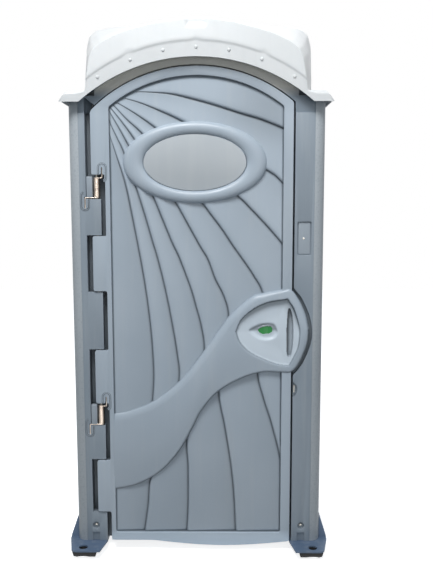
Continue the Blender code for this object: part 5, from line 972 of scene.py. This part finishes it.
def build_roof():
    """The thin roof: an arched front flange, soft shoulders and a flared eave."""
    fine = np.linspace(0, len(SHOULDER) - 1, ROOF_PLACES)
    lines = []
    for y, half in roof_rows():
        x, z = (np.interp(fine, np.arange(len(half)), half[:, i]) for i in (0, 1))
        lines.append(np.column_stack([x, np.full(len(x), y), z]))
    lines, last = np.array(lines), len(lines) - 1
    runs = [np.linspace(i, i + 1, count, endpoint=False) for i, count in enumerate(ROOF_COUNTS)]
    shares = np.concatenate(runs + [[float(last)]])
    full = np.array([lines[int(s)] + (lines[min(int(s) + 1, last)] - lines[int(s)]) * (s - int(s)) for s in shares])
    # Softened behind the front face, then all over from crest to eave
    behind = np.clip((shares - 2.6) / 1.0, 0, 1)[:, None, None]
    full = full * (1 - behind) + blurred(full, 3) * behind
    full = np.swapaxes(blurred(blurred(np.swapaxes(full, 0, 1), 2), 1), 0, 1)
    front = shares < 1.0
    full[front, :, 2] = np.maximum(full[front, :, 2], arch_edge(full[front, :, 0]))
    full[0, :, 2] = arch_edge(full[0, :, 0])
    whole = np.concatenate([full[:, :0:-1] * (-1, 1, 1), full], axis=1)
    spots = whole[..., 0] + 1j * whole[..., 2]
    # The raised band along the rivets, let down round the second, fourth and sixth
    over = whole[..., 2] - arch_edge(whole[..., 0]) - 0.062
    heads = [x + 1j * (float(arch_edge(np.array(x))) + 0.034) for x in (-0.268, 0.0, 0.268)]
    rivets = np.min([abs(spots - head) for head in heads], axis=0)
    band = eased(over, -0.004, 0.006) * eased(rivets, 0.030, 0.040)
    fore = 1 - eased(whole[..., 1], -0.50, -0.46)
    # The shallow mark at the crest
    crest = eased(-np.abs(whole[..., 0]), -0.044, -0.038) * eased(whole[..., 2], 2.252, 2.258)
    whole[..., 1] += (0.004 * crest - 0.0035 * band) * fore
    shape = sheet(whole)
    weld(shape)
    if sum(f.normal.z for f in shape.faces) < 0:
        bmesh.ops.reverse_faces(shape, faces=shape.faces)
    bmesh.ops.solidify(shape, geom=shape.faces[:], thickness=ROOF_THICK)
    make_piece("roof_shell", shape, ROOF_PLASTIC, "cabin", ("roof",), crease=50)


# ----- the hinge springs -----

HINGE_X, HINGE_Y = -0.424, -0.495
JAMB_LEG_X, DOOR_LEG_X, LEG_Y, LEG_LONG, LEG_BEND = -0.4725, -0.399, -0.5075, 0.048, 0.004
SPRING_TURNS, TURN_LIFT, COIL_RADIUS, WIRE_RADIUS = 18, 0.0046, 0.0125, 0.0020
# From the door's slot down to the jamb's, and from there up to the coil
JAMB_SLOT_DROP, SPRING_LIFT = 0.101, 0.0051


def tube_along(path, radius, sides=10, painted_shade=0.0):
    """A round wire along a path, closed at both ends."""
    run = np.gradient(path, axis=0)
    run /= norm(run, axis=1)[:, None]
    across = np.cross(run[0], (0.3, 0.2, 0.9))
    rings = []
    for place, ahead in zip(path, run):
        across = across - ahead * (across @ ahead)
        across /= norm(across)
        other = np.cross(ahead, across)
        turns = np.linspace(0, 2 * pi, sides + 1)[:, None]
        rings.append(place + radius * (np.cos(turns) * across + np.sin(turns) * other))
    shape = sheet(np.array(rings), np.full((len(rings), sides + 1), painted_shade))
    weld(shape, 1e-7)
    bmesh.ops.holes_fill(shape, edges=[e for e in shape.edges if e.is_boundary], sides=0)
    return shape


def build_spring(name, node, foot):
    """A closing spring with one leg hooked to the jamb and one to the door."""
    turns, lift, bend = SPRING_TURNS, TURN_LIFT, LEG_BEND
    head = foot + turns * lift
    angles = np.linspace(-pi / 2, -pi / 2 + 2 * pi * turns, turns * 24 + 1)
    rise = foot + lift * (angles + pi / 2) / (2 * pi)
    helix = np.stack([HINGE_X + COIL_RADIUS * np.cos(angles), HINGE_Y + COIL_RADIUS * np.sin(angles), rise], axis=1)
    arc = np.linspace(0, pi / 2, 7)
    path = [(JAMB_LEG_X, LEG_Y, foot - LEG_LONG)]
    path += [(JAMB_LEG_X + bend * (1 - cos(a)), LEG_Y, foot - bend + bend * sin(a)) for a in arc]
    path += helix.tolist()
    path += [(DOOR_LEG_X - bend * (1 - sin(a)), LEG_Y, head + bend * (1 - cos(a))) for a in arc]
    path.append((DOOR_LEG_X, LEG_Y, head + LEG_LONG))
    wire = tube_along(np.array(path), WIRE_RADIUS)
    spring = make_piece(name, wire, SPRING_WIRE, None, (node,), crease=60)
    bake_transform(spring, "cabin", "door", start=(HINGE_X, HINGE_Y, foot), end=(HINGE_X, HINGE_Y, head))


# ----- small trims -----


# Ridges round a spring's slot: name, radius of the hook, radius of the ridge, painted shade
HOOK_RIDGES = (
    ("inner", 0.0115, 0.0018, 0.0), ("furrow", 0.0142, 0.0012, 0.85),
    ("outer", 0.0172, 0.0018, 0.0), ("shadow", 0.0198, 0.0011, 0.7),
)
COVER_Y, COVER_THICK = -0.5048, 0.004
COVER_CORNERS = [(0.4295, 1.325), (0.4295, 1.458), (0.4795, 1.458), (0.4795, 1.325)]


def build_hook_ridges(name, turned, body, stands_for, x, z, y, finish):
    """Raised ridges, with painted shade between them, that hook round a spring's slot."""
    for which, reach, radius, painted_shade in HOOK_RIDGES:
        over = [(reach * cos(a), 0.030 + reach * sin(a)) for a in np.linspace(pi, 0, 15)]
        tail = [(reach - (reach - 0.001) * (1 - cos(a)), -0.012 - reach * sin(a)) for a in np.linspace(0, 1.25, 9)]
        path = [(-reach, 0.002)] + over + tail
        places = np.array([(x + turned * across, y, z + turned * up) for across, up in path])
        ridge = tube_along(places, radius, 8, painted_shade)
        make_piece(name + "_" + which, ridge, finish, body, (stands_for,), crease=60)


def build_spring_pad(name, foot):
    """The jamb's face beside a spring, under the door's finger."""
    shape = block((0.026, 0.020, 0.090), (-0.4535, FACE_Y + 0.0102, foot + 0.044))
    rounded(shape, shape.edges[:], 0.004)
    make_piece(name, shape, SHELL_PLASTIC, "cabin", ("hinge_jamb",), crease=50)


def build_cover_plate():
    """The plate over the latch jamb's pocket, with a shadow gap round it."""
    shape = flat_face(rounded_corners(COVER_CORNERS, 0.005, steps=6), COVER_Y)
    extruded(shape, COVER_THICK)
    rounded(shape, edges_at(shape, COVER_Y), 0.0015)
    make_piece("cover_plate", shape, SHELL_PLASTIC, "cabin", ("latch_jamb",), crease=50)


build_rim()
build_field()
build_sign()
build_sweep()
build_roof()
springs = list(zip(("lower", "upper"), SLOTTED_FEET))
for which, foot in springs:
    jamb_slot = foot - JAMB_SLOT_DROP
    build_hook_ridges("door_hook_" + which, 1, "door", "door_outer_panel", -0.3975, foot, RIM_Y, DOOR_PLASTIC)
    build_hook_ridges("jamb_hook_" + which, -1, "cabin", "hinge_jamb", JAMB_LEG_X, jamb_slot, FACE_Y, SHELL_PLASTIC)
    build_spring_pad("spring_pad_" + which, jamb_slot + SPRING_LIFT)
build_cover_plate()
for which, foot in springs:
    build_spring("spring_" + which, "hinge_spring_" + which, foot - JAMB_SLOT_DROP + SPRING_LIFT)

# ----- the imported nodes' finishes -----

for side in ("left", "right"):
    softened("wall_" + side, "side_wall_" + side, WALL_PLASTIC, 0.004)
    softened("runner_" + side, "skid_" + side, BLACK_PLASTIC, 0.006)
    finish_node("jamb_bolt_" + side, ZINC)
    finish_node("seat_bracket_" + side, SEAT_PLASTIC)
softened("wall_back", "back_wall", WALL_PLASTIC, 0.003)
softened("jamb_hinge_side", "hinge_jamb", JAMB_PLASTIC, 0.004)
softened("jamb_latch_side", "latch_jamb", JAMB_PLASTIC, 0.0025)
softened("head", "door_header", HEAD_PLASTIC, 0.003)
softened("pan", "base_pan", BASE_PLASTIC, 0.003)
softened("door_inside", "door_inner_panel", INNER_PLASTIC, 0.003, "door")
softened("tank", "waste_tank", INNER_PLASTIC, 0.008)
softened("ring_seat", "seat_ring", SEAT_PLASTIC, 0.005, "seat")
softened("lid_seat", "seat_lid", SEAT_PLASTIC, 0.003, "lid")
softened("urinal_bowl", "urinal", INNER_PLASTIC, 0.002)
softened("lock_case", "lock_housing", SEAT_PLASTIC, 0.002, "door")
softened("lock_handle", "lock_knob", SEAT_PLASTIC, 0.002, "lock_turn_knob")
softened("paper_bracket", "paper_holder", SEAT_PLASTIC, 0.0015)
for node in ("vent_pipe", "vent_cap", "urinal_drain"):
    finish_node(node, SEAT_PLASTIC)
for node in ("lock_bolt", "strike_plate", "hasp_plate_door", "hasp_plate_jamb", "cover_screw", "seat_pin"):
    finish_node(node, ZINC)
finish_node("hinge_rod", ROD_STEEL)
finish_node("indicator_disc", BRIGHT_GREEN)
finish_node("paper_roll", TISSUE)
for number in range(1, 8):
    finish_node(f"roof_rivet_{number}", ROOF_PLASTIC)
